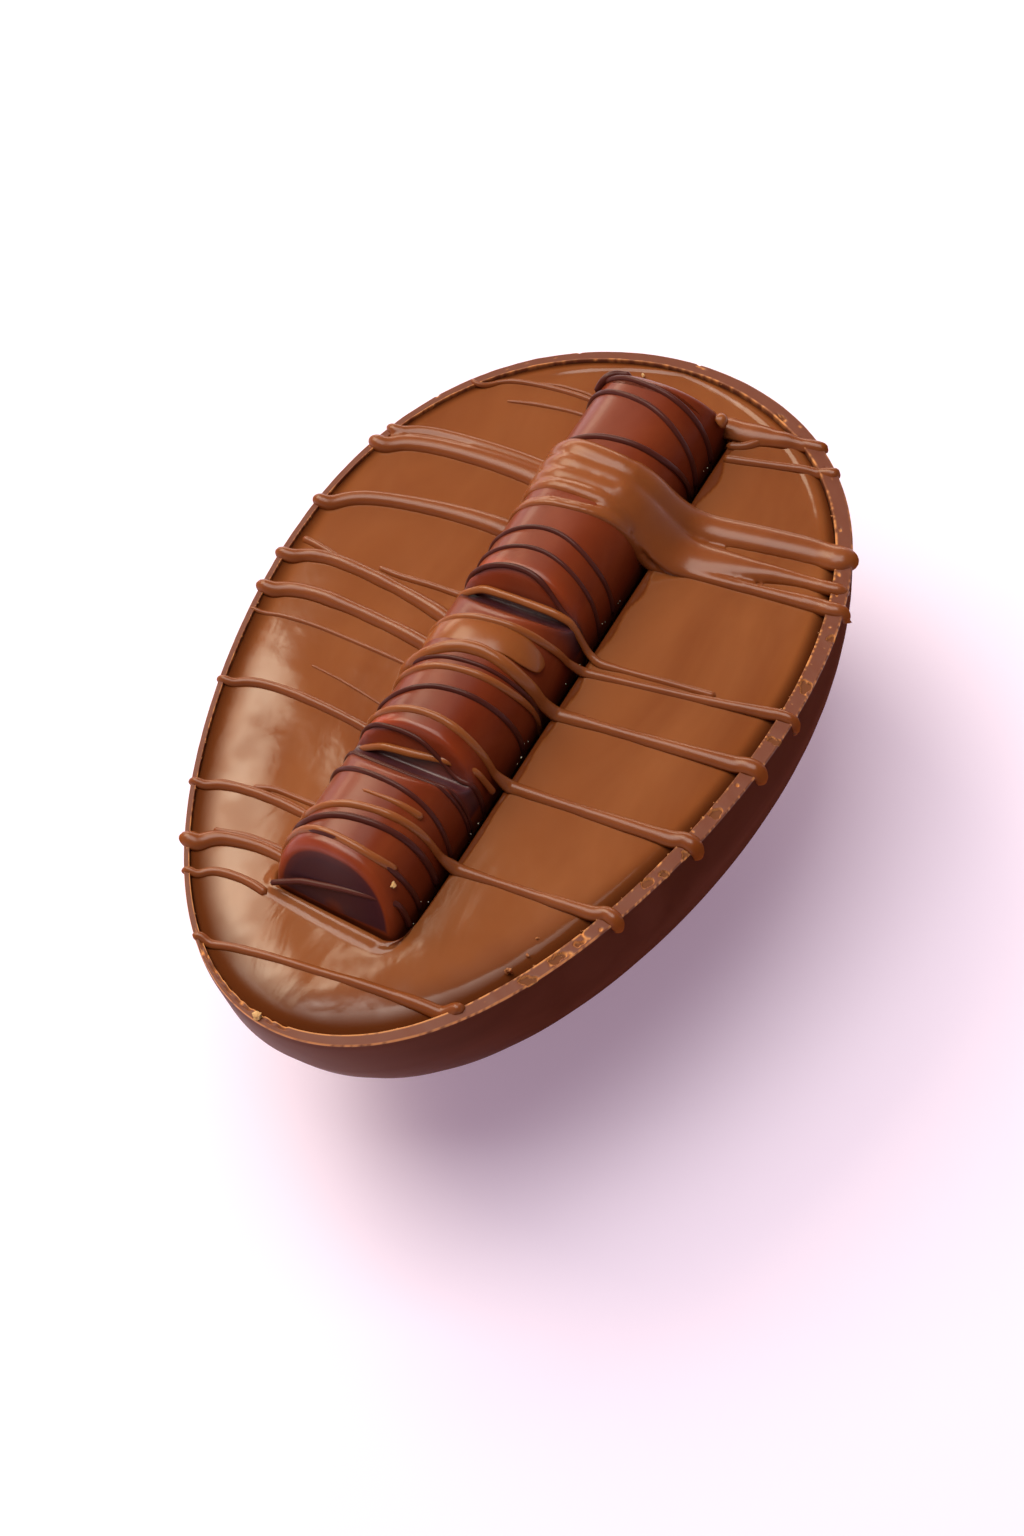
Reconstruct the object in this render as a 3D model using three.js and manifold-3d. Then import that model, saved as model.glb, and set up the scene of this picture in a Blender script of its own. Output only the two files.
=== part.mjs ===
// A filled half chocolate egg, lying on its rounded back with its flat face up. A thin shell holds a
// solid milk filling, a humped wafer bar is pressed into the filling along the egg's length, and
// chocolate is drizzled across all three.
//
// Millimetres, +Z up, +X towards the blunt end. The origin is on the plane that the egg rests on,
// under the middle of its length. Inside the group, heights are measured from the flat top of the
// shell's rim.

import * as THREE from "three";
import { mergeVertices } from "three/addons/utils/BufferGeometryUtils.js";
import Module from "manifold-3d";

const wasm = await Module();
wasm.setup();

// ---------------------------------------------------------------- driving dimensions

// The egg: half width = EGG_HALF_WIDTH sin(t) (1 + BLUNT c + FULL c^2 - SQUARE c^3), with c = cos(t)
// and x = EGG_HALF_LENGTH c. Its sections are rounded a little squarer than an ellipse.
const EGG_HALF_LENGTH = 75;
const EGG_HALF_WIDTH = 47.2;
const BLUNT = 0.184;
const FULL = 0.073;
const SQUARE = 0.02;
const DEPTH_TO_WIDTH = 1.1;
const SECTION_POWER = 2.2;
const FLAT_SPOT_CUT = 0.9;

// The shell's wall is thinner on the +Y side, where the mould was tipped while it set.
const WALL = 1.95;
const WALL_BELOW = 3;
const CAVITY_SHIFT = { x: -0.3, y: 0.8 };
const GAP = 0.3;

// The filling lies just under the rim and rolls down where it meets the shell.
const FILLING_LEVEL = -0.7;
const EDGE_DROP = 1.7;
const EDGE_ROLL = 4.5;
const EDGE_ROLL_POWER = 2.5;

// The bar, in its own frame: length along its axis, heights from the rim.
const BAR_CENTRE = { x: 6, y: 1.5 };
const BAR_TURN = -2.1;
const BAR_NEAR = -58.6;
const BAR_FAR = 58;
const BAR_HALF_WIDTH = 11.3;
const BAR_CREST = 12;
const BAR_WAIST = -1;
const BAR_FOOT = -6;
const BAR_ARCH_POWER = 2.35;
const BAR_BASE_POWER = 5;
const END_SLOPE = { near: 0.28, far: 0.42 };
const END_SKEW = { near: 0.06, far: -0.02 };
const END_FILLET = 2.2;
const END_SHRINK = 0.16;

// The dips between its four humps are cut flat through the arch: place along the bar, and height of
// the bottom. The third one is nearly filled by the milk chocolate that runs over it.
const DIPS = [
  { at: -31.6, bottom: 5 },
  { at: 3.6, bottom: 5 },
  { at: 30, bottom: 9.5 },
];
const DIP_RISE = 3.2;
const DIP_FALL = 7.5;
const DIP_EDGE = 0.8;

// The pocket in the filling round the bar.
const POCKET_CLEAR = { near: 1.3, far: 0.8, left: 0.6, right: 1.7 };
const POCKET_CORNER = 3;

// The low lip that was pushed up along the pocket's near edge: its ends across the bar, how far
// outside the pocket it lies, its width and its height.
const LIP = { from: -9, to: 11, outside: 1.2, width: 2.6, rise: 0.7 };

// Strands of drizzle: how high one stands for its width, at most how high in each place, how deep it
// is rooted, how blunt its ends are, and how far it stays off the wall and the pocket.
const STRAND_RISE = 0.5;
const STRAND_HIGHEST = { filling: 1.4, rim: 0.8, bar: 0.7 };
const STRAND_ROOT = 0.5;
const STRAND_BLUNTNESS = 0.35;
const STRAND_CLEAR = { wall: 0.6, pocket: 0.2 };

// Where a strand crosses the rim: its root below the inner edge, how far it bulges over the outer
// edge, how far down it turns, and how much it swells on the lip and thins in its tail.
const RIM_CROSSING = { root: 0.3, bulge: 0.15, turn: 0.8, swell: 1.2, tail: 0.5, thinsFrom: 0.45 };
const LEFT_DRIP = { heavy: 0.8, light: 0.2 };

// How finely the faces follow the round forms: sides round, steps along.
const OUTSIDE_FACES = { sides: 36, steps: 48 };
const CAVITY_FACES = { sides: 28, steps: 38 };
const TOP_FACES = { sides: 52, steps: 12 };
const BAR_SIDES = 22;
const BAR_RINGS = { end: 0.5, falling: [0.3, 0.55, 0.8], rising: [0, 0.35, 0.7, 1] };
const STRAND_FACES = { sides: 6, onFilling: 9, onRim: 6, onBar: 9 };

// Milk strands from the rim to the bar, on the +Y side: where each starts on the rim, where it meets
// the bar, how far it bows towards the blunt end, and its width.
const LEFT_STRANDS = [
  { rim: -54.2, bar: -53.1, bow: 1.9, width: 1.5 },
  { rim: -48.9, bar: -46.3, bow: 2.2, width: 2.5, heavy: true },
  { rim: -38.5, bar: -37.6, bow: 1.7, width: 1.8 },
  { rim: -18.3, bar: -18.7, bow: 2.2, width: 1.8 },
  { rim: -3.1, bar: -4.2, bow: 1.2, width: 1 },
  { rim: 1.9, bar: 0.6, bow: 2.3, width: 2.4, heavy: true },
  { rim: 9.6, bar: 6.9, bow: 2.9, width: 2.2, heavy: true },
  { rim: 22.6, bar: 28.5, bow: 3.2, width: 3.3, heavy: true },
  { rim: 38.4, bar: 41.7, bow: 2.4, width: 3.3, heavy: true },
  { rim: 42.2, bar: 44.8, bow: 1.8, width: 2.8 },
  { rim: 57.7, bar: 60.6, bow: 2.4, width: 1.2 },
];
const LEFT_BOW_BUILD = 0.08;

// Milk strands from the bar to the rim, on the -Y side: where each leaves the bar, where it crosses
// the rim, its widths at both ends, and how far its tail runs down outside.
const RIGHT_STRANDS = [
  { bar: -37.9, rim: -37, width: [1.8, 2.3], drip: 2 },
  { bar: -20.6, rim: -19.7, width: [2.8, 2.7], drip: 2.6 },
  { bar: -3, rim: -2.6, width: [2.6, 2.7], drip: 2.4 },
  { bar: 5.3, rim: 8.7, width: [1.4, 2], drip: 2.8 },
  { bar: 27.2, rim: 32.2, width: [2, 2.7], drip: 2 },
  { bar: 33, rim: 36.6, width: [7.5, 2], drip: 0.6 },
  { bar: 41.6, rim: 43, width: [5.4, 5], drip: 1.2 },
  { bar: 56.7, rim: 59.9, width: [0.9, 1.2], drip: 1 },
];

// The one strand that crosses the whole filling, by the pointed end.
const POINTED_STRAND = { left: -64.6, right: -61.7, bow: 0.6, width: 1.5, drip: 1.6 };

// Strands over the bar: place on the +Y side, on the crest and on the -Y side, and width.
const BAR_MILK = [
  { left: -40.8, crest: -39.2, right: -37.5, width: 1.5 },
  { left: -25.6, crest: -24.4, right: -22.5, width: 1.2 },
  { left: -19.5, crest: -19.5, right: -19.4, width: 1.4 },
  { left: -10.3, crest: -9.6, right: -8.8, width: 1.3 },
  { left: -5.4, crest: -5, right: -3.3, width: 2.6 },
  { left: 1.7, crest: 1.3, right: 5, width: 1.6 },
  { left: 6.4, crest: 9.6, right: 10, width: 1.3 },
  { left: 27.6, crest: 29.4, right: 27.4, width: 2.6 },
  { left: 33.4, crest: 33.6, right: 31.8, width: 4.6 },
  { left: 38.6, crest: 38.6, right: 38.2, width: 7.5 },
];
const BAR_DARK = [
  { left: -47, crest: -47.1, right: -45.6, width: 1 },
  { left: -43.3, crest: -41.7, right: -39.9, width: 1.2 },
  { left: -32, crest: -34, right: -35, width: 1 },
  { left: -14.1, crest: -13.8, right: -11.4, width: 1 },
  { left: 17.2, crest: 19.2, right: 17, width: 1 },
  { left: 20.9, crest: 23.4, right: 20.6, width: 1 },
  { left: 43.6, crest: 46.3, right: 45.8, width: 1.2 },
  { left: 54.6, crest: 56.2, right: 51, width: 1.1 },
];

// Chips broken out of the rim's top on its -Y side: place along the egg and size.
const CHIPS = [
  { x: -51.8, size: 1.9 },
  { x: -45.6, size: 1.7 },
  { x: -42.4, size: 1.5 },
  { x: -29, size: 1.8 },
  { x: -25.6, size: 1.6 },
  { x: -12.4, size: 1.4 },
  { x: 15.2, size: 1.8 },
  { x: 19, size: 1.3 },
];
const CHIP_SHAPE = { across: 0.6, up: 0.45 };

// Half the size of the boxes that trim the egg, well outside it, and how far the cut over the
// filling and the cut round the bar go.
const TRIM = new THREE.Vector3(90, 60, 70);
const TOP_CUT = 30;
const TOP_OVERSHOOT = 1.03;
const POCKET_CUT = 20;

const FINISHES = {
  shell: { color: 0x4a2115, roughness: 0.5 },
  filling: { color: 0x8f5531, roughness: 0.35 },
  bar: { color: 0x5c2a1c, roughness: 0.35 },
};

// ---------------------------------------------------------------- solids

const radians = THREE.MathUtils.degToRad;
const { lerp, smoothstep } = THREE.MathUtils;

// A closed geometry as a manifold solid, with each vertex moved by `place`.
function solid(geometry, place = (p) => p) {
  geometry.deleteAttribute("normal");
  geometry.deleteAttribute("uv");
  const welded = mergeVertices(geometry, 1e-4);
  const position = welded.getAttribute("position");
  for (let i = 0; i < position.count; i++) {
    const p = place(new THREE.Vector3().fromBufferAttribute(position, i));
    position.setXYZ(i, p.x, p.y, p.z);
  }
  const vertProperties = position.array;
  const triVerts = new Uint32Array(welded.index.array);
  return new wasm.Manifold(new wasm.Mesh({ numProp: 3, vertProperties, triVerts }));
}

// A sphere's rings laid along any line: place(s, angle) puts the vertex that is a share s of the way
// from one pole to the other, at that angle round the line. The angle turns right-handed about the
// line, so that the faces point out.
function ringed(sides, steps, place) {
  return solid(new THREE.SphereGeometry(1, sides, steps), (p) => {
    const share = Math.acos(THREE.MathUtils.clamp(p.y, -1, 1)) / Math.PI;
    return place(share, Math.atan2(p.z, p.x));
  });
}

// A box from one corner to the other.
function block(low, high) {
  const size = high.clone().sub(low);
  const middle = low.clone().add(high).multiplyScalar(0.5);
  return solid(new THREE.BoxGeometry(size.x, size.y, size.z), (p) => p.add(middle));
}

function addAll(base, pieces) {
  return pieces.reduce((sum, piece) => sum.add(piece), base);
}

// A sine or cosine pulled towards a superellipse of the given power.
function squared(value, power) {
  return Math.sign(value) * Math.abs(value) ** (2 / power);
}

// ---------------------------------------------------------------- the egg's form

function halfWidth(x) {
  const c = THREE.MathUtils.clamp(x / EGG_HALF_LENGTH, -1, 1);
  const bulge = 1 + BLUNT * c + FULL * c * c - SQUARE * c ** 3;
  return EGG_HALF_WIDTH * Math.sqrt(1 - c * c) * bulge;
}

const WIDEST = 48.1;
const DEEPEST = WIDEST * DEPTH_TO_WIDTH;
const FACE_HEIGHT = DEEPEST - FLAT_SPOT_CUT;

// The whole egg, set in from the outside by `wall` at the sides and `below` underneath.
function egg(wall, below, shift, { sides, steps }) {
  const alongScale = 1 - wall / EGG_HALF_LENGTH;
  const acrossScale = 1 - wall / WIDEST;
  const downScale = 1 - below / DEEPEST;
  return ringed(sides, steps, (s, angle) => {
    const x = -EGG_HALF_LENGTH * Math.cos(s * Math.PI);
    const w = halfWidth(x);
    return new THREE.Vector3(
      x * alongScale + shift.x,
      w * acrossScale * squared(Math.cos(angle), SECTION_POWER) + shift.y,
      w * DEPTH_TO_WIDTH * downScale * squared(Math.sin(angle), SECTION_POWER),
    );
  });
}

// Half width of the cavity at x, on the side that `side` (+1 or -1) names.
function cavityEdge(x, side) {
  const inner = (x - CAVITY_SHIFT.x) / (1 - WALL / EGG_HALF_LENGTH);
  return CAVITY_SHIFT.y + side * halfWidth(inner) * (1 - WALL / WIDEST);
}

// How much wider the egg grows for each millimetre along it.
function flare(x) {
  const step = 0.5;
  return (halfWidth(x + step) - halfWidth(x - step)) / (2 * step);
}

// How far a point of the face is from the shell's inner wall.
function inset(x, y) {
  const side = Math.sign(y - CAVITY_SHIFT.y) || 1;
  return Math.abs(cavityEdge(x, side) - y) / Math.hypot(1, flare(x));
}

// Height of the filling's top at that distance from the wall.
function rolledTop(fromWall) {
  const roll = Math.max(0, 1 - fromWall / EDGE_ROLL);
  return FILLING_LEVEL - EDGE_DROP * roll ** EDGE_ROLL_POWER;
}

// ---------------------------------------------------------------- the bar's form

// From the bar's own frame to the egg's.
function fromBar(p) {
  p.applyAxisAngle(new THREE.Vector3(0, 0, 1), radians(BAR_TURN));
  return p.add(new THREE.Vector3(BAR_CENTRE.x, BAR_CENTRE.y, 0));
}

// The bar's side edge at x in the egg's frame, on the side that `side` names.
function barSide(x, side) {
  return BAR_CENTRE.y + (x - BAR_CENTRE.x) * Math.tan(radians(BAR_TURN)) + side * BAR_HALF_WIDTH;
}

// How much of a dip is felt at u along the bar: 1 in its bottom, 0 on the humps. A dip falls gently
// on its near side and rises steeply on its far side.
function dipShare(u, dip) {
  const reach = u < dip.at ? DIP_FALL : DIP_RISE;
  return 1 - smoothstep(Math.abs(u - dip.at), 0, reach);
}

function crestAt(u) {
  return DIPS.reduce(
    (height, dip) => Math.min(height, lerp(BAR_CREST, dip.bottom, dipShare(u, dip))),
    BAR_CREST,
  );
}

// The lower of two heights, with the corner where they meet rounded off.
function softLower(a, b, round) {
  const mix = THREE.MathUtils.clamp(0.5 + (b - a) / (2 * round), 0, 1);
  return lerp(b, a, mix) - round * mix * (1 - mix);
}

// A point of the bar's skin: u along it, angle round it from the +Y side over the crest.
function barSkin(u, angle) {
  const over = Math.sin(angle) >= 0;
  const power = over ? BAR_ARCH_POWER : BAR_BASE_POWER;
  const reach = over ? BAR_CREST - BAR_WAIST : BAR_WAIST - BAR_FOOT;
  const arch = BAR_WAIST + reach * squared(Math.sin(angle), power);
  const top = crestAt(u);
  const z = top < BAR_CREST ? softLower(arch, top, DIP_EDGE) : arch;
  return new THREE.Vector3(u, BAR_HALF_WIDTH * squared(Math.cos(angle), power), z);
}

// Places along the bar where its form needs a ring: the rounded ends, each dip and each hump.
function barStations() {
  const places = [BAR_NEAR, BAR_NEAR + BAR_RINGS.end, BAR_NEAR + END_FILLET];
  let last = BAR_NEAR + END_FILLET;
  for (const dip of DIPS) {
    const fall = dip.at - DIP_FALL;
    places.push(lerp(last, fall, 0.5), fall);
    places.push(...BAR_RINGS.falling.map((share) => lerp(fall, dip.at, share)));
    places.push(...BAR_RINGS.rising.map((share) => dip.at + share * DIP_RISE));
    last = dip.at + DIP_RISE;
  }
  places.push(lerp(last, BAR_FAR, 0.5), BAR_FAR - END_FILLET, BAR_FAR - BAR_RINGS.end, BAR_FAR);
  return places;
}

// The bar's coated body. Its ends are flat faces with a rounded edge, which lean inwards above the
// rim's height and stand upright below it.
function barBody() {
  const stations = barStations();
  const steps = stations.length + 1;
  return ringed(BAR_SIDES, steps, (s, angle) => {
    const ring = Math.round(s * steps);
    const u = stations[THREE.MathUtils.clamp(ring - 1, 0, stations.length - 1)];
    const fromEnd = Math.min(u - BAR_NEAR, BAR_FAR - u);
    const fillet = Math.max(0, 1 - fromEnd / END_FILLET);
    const p = barSkin(u, angle);
    const shrink = ring === 0 || ring === steps ? 0 : 1 - END_SHRINK * fillet ** 2;
    p.y *= shrink;
    p.z *= shrink;
    const end = u < 0 ? "near" : "far";
    const lean = END_SLOPE[end] * Math.max(0, p.z) * (u < 0 ? 1 : -1);
    const skew = END_SKEW[end] * (p.y + BAR_HALF_WIDTH);
    p.x += (lean + skew) * (1 - smoothstep(fromEnd, END_FILLET, 3 * END_FILLET));
    return fromBar(p);
  });
}

// ---------------------------------------------------------------- strands

// A strand of set chocolate. route(s) gives the middle of its foot, the direction across it and the
// direction out of the surface; width(s) is its width. Both ends are rounded.
function strand(steps, route, width, highest) {
  return ringed(STRAND_FACES.sides, steps, (s, angle) => {
    const { at, across, out } = route(s);
    const rounded = Math.sin(Math.PI * s) ** STRAND_BLUNTNESS;
    const half = 0.5 * width(s) * rounded;
    const above = Math.min(width(s) * STRAND_RISE, highest);
    const high = rounded * (Math.sin(angle) > 0 ? above : STRAND_ROOT);
    return at
      .clone()
      .addScaledVector(across, half * Math.cos(angle))
      .addScaledVector(out, high * Math.sin(angle));
  });
}

const UP = new THREE.Vector3(0, 0, 1);

// Which way a path runs at s, where point(s) is a place on it.
function headingAt(point, s) {
  const step = 0.01;
  return point(Math.min(1, s + step)).sub(point(Math.max(0, s - step)));
}

// A strand on the filling, along a plan line plan(s) = [x, y].
function fillingStrand(plan, width) {
  const point = (s) => {
    const [x, y] = plan(s);
    return new THREE.Vector3(x, y, rolledTop(inset(x, y)));
  };
  const route = (s) => {
    const across = UP.clone().cross(headingAt(point, s)).setZ(0).normalize();
    return { at: point(s), across, out: UP };
  };
  return strand(STRAND_FACES.onFilling, route, width, STRAND_HIGHEST.filling);
}

// The bow of a strand that was thrown over the rim: it sets out fast and eases back to the bar.
function bowAt(s) {
  return (1 - Math.exp(-s / LEFT_BOW_BUILD)) * (1 - s ** 3);
}

// Where a strand on the filling starts or ends by the wall, and by the pocket.
function byWall(x, side) {
  return cavityEdge(x, side) - side * (GAP + STRAND_CLEAR.wall);
}

function byPocket(x, side) {
  const clear = side > 0 ? POCKET_CLEAR.left : POCKET_CLEAR.right;
  return barSide(x, side) + side * (clear + STRAND_CLEAR.pocket);
}

function leftStrand({ rim, bar, bow, width }) {
  const start = byWall(rim, 1);
  const end = byPocket(bar, 1);
  const plan = (s) => [lerp(rim, bar, s) + bow * bowAt(s), lerp(start, end, s)];
  return fillingStrand(plan, () => width);
}

function rightStrand({ rim, bar, width }) {
  const start = byPocket(bar, -1);
  const end = byWall(rim, -1);
  const plan = (s) => [lerp(bar, rim, s), lerp(start, end, s)];
  return fillingStrand(plan, (s) => lerp(width[0], width[1], smoothstep(s, 0, 1)));
}

function pointedStrand({ left, right, bow, width }) {
  const start = byWall(left, 1);
  const end = byWall(right, -1);
  const plan = (s) => [lerp(left, right, s) + bow * bowAt(s), lerp(start, end, s)];
  return fillingStrand(plan, () => width);
}

// The piece of a strand that lies across the rim, with its rounded end over the outer edge and a
// tail down the wall.
function rimStrand(x, side, width, drip) {
  const out = new THREE.Vector3(-flare(x), side, 0).normalize();
  const across = UP.clone().cross(out);
  const edge = new THREE.Vector3(x, side * halfWidth(x), 0);
  const wall = Math.abs(edge.y - cavityEdge(x, side)) * Math.abs(out.y);
  const { root, bulge, turn, swell, tail, thinsFrom } = RIM_CROSSING;
  const line = new THREE.CatmullRomCurve3(
    [
      [bulge - wall, -root],
      [-wall / 2, 0],
      [-bulge, -bulge],
      [bulge, -turn],
      [0, -turn - drip],
    ].map(([along, up]) => edge.clone().addScaledVector(out, along).addScaledVector(UP, up)),
  );
  const route = (s) => {
    const ahead = line.getTangent(s);
    return { at: line.getPoint(s), across, out: ahead.cross(across).normalize() };
  };
  const widthAt = (s) => width * lerp(swell, tail, smoothstep(s, thinsFrom, 1));
  return strand(STRAND_FACES.onRim, route, widthAt, STRAND_HIGHEST.rim);
}

// A strand over the bar, by its places in the egg's frame on the +Y side, the crest and the -Y side.
// Its rings fall on the edges between the bar's own faces, so that it lies flat on them.
function barStrand({ left, crest, right, width }) {
  const from = (2 * Math.PI) / BAR_SIDES;
  const to = from * (STRAND_FACES.onBar + 1);
  const placeAt = (s) => {
    const x = s < 0.5 ? lerp(left, crest, smoothstep(s, 0, 0.5)) : lerp(crest, right, 2 * s - 1);
    return x - BAR_CENTRE.x;
  };
  const skin = (s) => barSkin(placeAt(s), lerp(from, to, s));
  const route = (s) => {
    const across = new THREE.Vector3(1, 0, 0);
    const out = headingAt(skin, s).setX(0).cross(across).normalize();
    const turned = (v) => v.applyAxisAngle(UP, radians(BAR_TURN));
    return { at: fromBar(skin(s)), across: turned(across), out: turned(out) };
  };
  return strand(STRAND_FACES.onBar, route, () => width, STRAND_HIGHEST.bar);
}

// ---------------------------------------------------------------- the three sub-parts

// Everything higher than `level`, and everything lower.
function above(level) {
  return block(TRIM.clone().negate().setZ(level), TRIM);
}

function below(level) {
  return block(TRIM.clone().negate(), TRIM.clone().setZ(level));
}

function shell() {
  const cavity = egg(WALL, WALL_BELOW, CAVITY_SHIFT, CAVITY_FACES);
  const outside = egg(0, 0, { x: 0, y: 0 }, OUTSIDE_FACES);
  const chips = CHIPS.map(({ x, size }) => {
    const y = -halfWidth(x) + 0.5 * WALL;
    const lump = new THREE.IcosahedronGeometry(size);
    const { across, up } = CHIP_SHAPE;
    return solid(lump, (p) => new THREE.Vector3(p.x + x, across * p.y + y, up * p.z));
  });
  const tools = [above(0), below(-FACE_HEIGHT), cavity, ...chips];
  const cut = tools.reduce((rest, tool) => rest.subtract(tool), outside);
  const { left, right, width: pointed, drip: pointedDrip } = POINTED_STRAND;
  const ends = [
    ...LEFT_STRANDS.map(({ rim, width, heavy }) =>
      rimStrand(rim, 1, width, heavy ? LEFT_DRIP.heavy : LEFT_DRIP.light),
    ),
    ...RIGHT_STRANDS.map(({ rim, width, drip }) => rimStrand(rim, -1, width[1], drip)),
    rimStrand(left, 1, pointed, LEFT_DRIP.light),
    rimStrand(right, -1, pointed, pointedDrip),
  ];
  return addAll(cut, ends);
}

// The pocket round the bar: a rounded plan outline, sunk to just under the bar's foot.
function pocket() {
  const near = BAR_NEAR - POCKET_CLEAR.near;
  const far = BAR_FAR + POCKET_CLEAR.far;
  const left = BAR_HALF_WIDTH + POCKET_CLEAR.left;
  const right = -BAR_HALF_WIDTH - POCKET_CLEAR.right;
  const skew = END_SKEW.near * (left - right);
  const r = POCKET_CORNER;
  const outline = new THREE.Shape()
    .moveTo(near + r, right)
    .lineTo(far - r, right)
    .absarc(far - r, right + r, r, -Math.PI / 2, 0)
    .lineTo(far, left - r)
    .absarc(far - r, left - r, r, 0, Math.PI / 2)
    .lineTo(near + r + skew, left)
    .absarc(near + r + skew, left - r, r, Math.PI / 2, Math.PI)
    .lineTo(near, right + r)
    .absarc(near + r, right + r, r, Math.PI, 1.5 * Math.PI);
  const floor = BAR_FOOT - GAP;
  const options = { depth: POCKET_CUT, bevelEnabled: false, curveSegments: 4 };
  const cutter = new THREE.ExtrudeGeometry(outline, options);
  return solid(cutter, (p) => fromBar(p.setZ(p.z + floor)));
}

// The filling's rolled top, as the solid above it that is cut away.
function aboveFilling() {
  return ringed(TOP_FACES.sides, TOP_FACES.steps, (s, angle) => {
    const share = Math.sin(s * Math.PI);
    const reach = (EGG_HALF_LENGTH - WALL) * Math.cos(angle);
    const side = Math.sin(angle) < 0 ? -1 : 1;
    const edge = cavityEdge(CAVITY_SHIFT.x + reach, side) - CAVITY_SHIFT.y;
    const x = CAVITY_SHIFT.x + reach * share;
    const y = CAVITY_SHIFT.y + edge * share;
    const z = s < 0.5 ? rolledTop((1 - share) * WIDEST) : TOP_CUT * (1 - share);
    const outwards = share > 0.999 ? TOP_OVERSHOOT : 1;
    return new THREE.Vector3(x * outwards, y * outwards, z);
  });
}

function filling() {
  const body = egg(WALL + GAP, WALL_BELOW + GAP, CAVITY_SHIFT, CAVITY_FACES);
  const poured = body.subtract(aboveFilling()).subtract(above(0));
  const lipRoute = (s) => {
    const u = BAR_NEAR - POCKET_CLEAR.near - LIP.outside;
    const at = fromBar(new THREE.Vector3(u, lerp(LIP.from, LIP.to, s), FILLING_LEVEL));
    return { at, across: new THREE.Vector3(-1, 0, 0), out: UP };
  };
  const lip = strand(STRAND_FACES.onFilling, lipRoute, () => LIP.width, LIP.rise);
  const strands = [
    ...LEFT_STRANDS.map(leftStrand),
    ...RIGHT_STRANDS.map(rightStrand),
    pointedStrand(POINTED_STRAND),
    lip,
  ];
  return addAll(poured, strands).subtract(pocket());
}

function bar() {
  return addAll(barBody(), [...BAR_MILK, ...BAR_DARK].map(barStrand));
}

// ---------------------------------------------------------------- the scene graph

function mesh(name, made) {
  const { vertProperties, triVerts } = made.getMesh();
  const geometry = new THREE.BufferGeometry();
  geometry.setAttribute("position", new THREE.BufferAttribute(vertProperties, 3));
  geometry.setIndex(new THREE.BufferAttribute(triVerts, 1));
  const material = new THREE.MeshStandardMaterial({ ...FINISHES[name], metalness: 0 });
  const part = new THREE.Mesh(geometry, material);
  part.name = name;
  return part;
}

const halfEgg = new THREE.Group();
halfEgg.position.z = FACE_HEIGHT;
halfEgg.add(mesh("shell", shell()), mesh("filling", filling()), mesh("bar", bar()));

const root = new THREE.Group();
root.add(halfEgg);
export default root;
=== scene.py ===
# %% [markdown]
# # Half a chocolate egg, filled, with a wafer bar
#
# The real thing is made in four steps. A shell is cast in an egg mould, milk chocolate is poured in
# nearly up to its rim, a coated wafer bar is pressed into it, and more chocolate is thrown across
# everything in thin strands. The solid model already has these pieces at their true size. This
# lesson gives each of them its real surface: the same forms with fine meshes, rounded edges,
# strands that run on from one piece to the next, and chocolate that looks good enough to eat.

# %% Load the solid model
import math

import bpy
import numpy as np
from mathutils import Matrix, Vector


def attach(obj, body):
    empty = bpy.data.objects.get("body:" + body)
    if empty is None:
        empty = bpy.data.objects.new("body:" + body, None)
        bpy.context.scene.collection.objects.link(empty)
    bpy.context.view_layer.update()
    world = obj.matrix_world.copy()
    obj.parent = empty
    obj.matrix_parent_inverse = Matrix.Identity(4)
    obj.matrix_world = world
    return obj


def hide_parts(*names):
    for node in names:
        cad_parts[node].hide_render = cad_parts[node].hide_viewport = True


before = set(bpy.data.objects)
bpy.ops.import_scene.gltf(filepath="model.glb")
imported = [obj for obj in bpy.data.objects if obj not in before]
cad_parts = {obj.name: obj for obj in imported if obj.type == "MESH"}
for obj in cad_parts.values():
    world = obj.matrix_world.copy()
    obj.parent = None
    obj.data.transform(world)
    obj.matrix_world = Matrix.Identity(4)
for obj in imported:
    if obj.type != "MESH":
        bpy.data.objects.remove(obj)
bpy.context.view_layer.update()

# %% [markdown]
# ## Millimetres on the egg's face
#
# Chocolate work is measured in millimetres, so the lesson does the same, from the flat face of the
# egg: x runs towards the blunt end, y across the egg, and z is 0 on top of the rim. Blender wants
# metres from the table, so one function makes that change.

# %% From millimetres to metres
MM = 0.001
HALF_LENGTH = 75
HALF_WIDTH = 47.2
WIDEST = 48.1
DEPTH_TO_WIDTH = 1.1
FLAT_SPOT_CUT = 0.9
FACE_HEIGHT = WIDEST * DEPTH_TO_WIDTH - FLAT_SPOT_CUT


def to_scene(points):
    """Points in mm from the egg's face, as metres from the table."""
    return (np.asarray(points, float) + [0, 0, FACE_HEIGHT]) * MM


print("face of the egg, mm over the table:", round(FACE_HEIGHT, 2))

# %% [markdown]
# ## Skins from rows of points
#
# The shell, the filling and the bar are each one closed skin. They could be cut out of solids, but
# cuts leave ragged faces, and mirrored light shows every one. So each is laid out as rows of points
# that run right round it, with close rows where it bends. A row also carries marks, such as how pale
# or glossy the chocolate is there, which the material reads.

# %% Rows, skins and pieces
def add_row(rows, marks, row, **values):
    """Adds a row of points and its value of each mark, which is 0 where it isn't given."""
    rows.append(row)
    for label, kept in marks.items():
        kept.append(values.get(label, 0) + 0 * row[:, 0])


def gathered(rows):
    """All the rows in one, with the first and the last each gathered into one pole."""
    return np.concatenate([rows[0].mean(0, keepdims=True), *rows[1:-1], rows[-1].mean(0, keepdims=True)])


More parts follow.
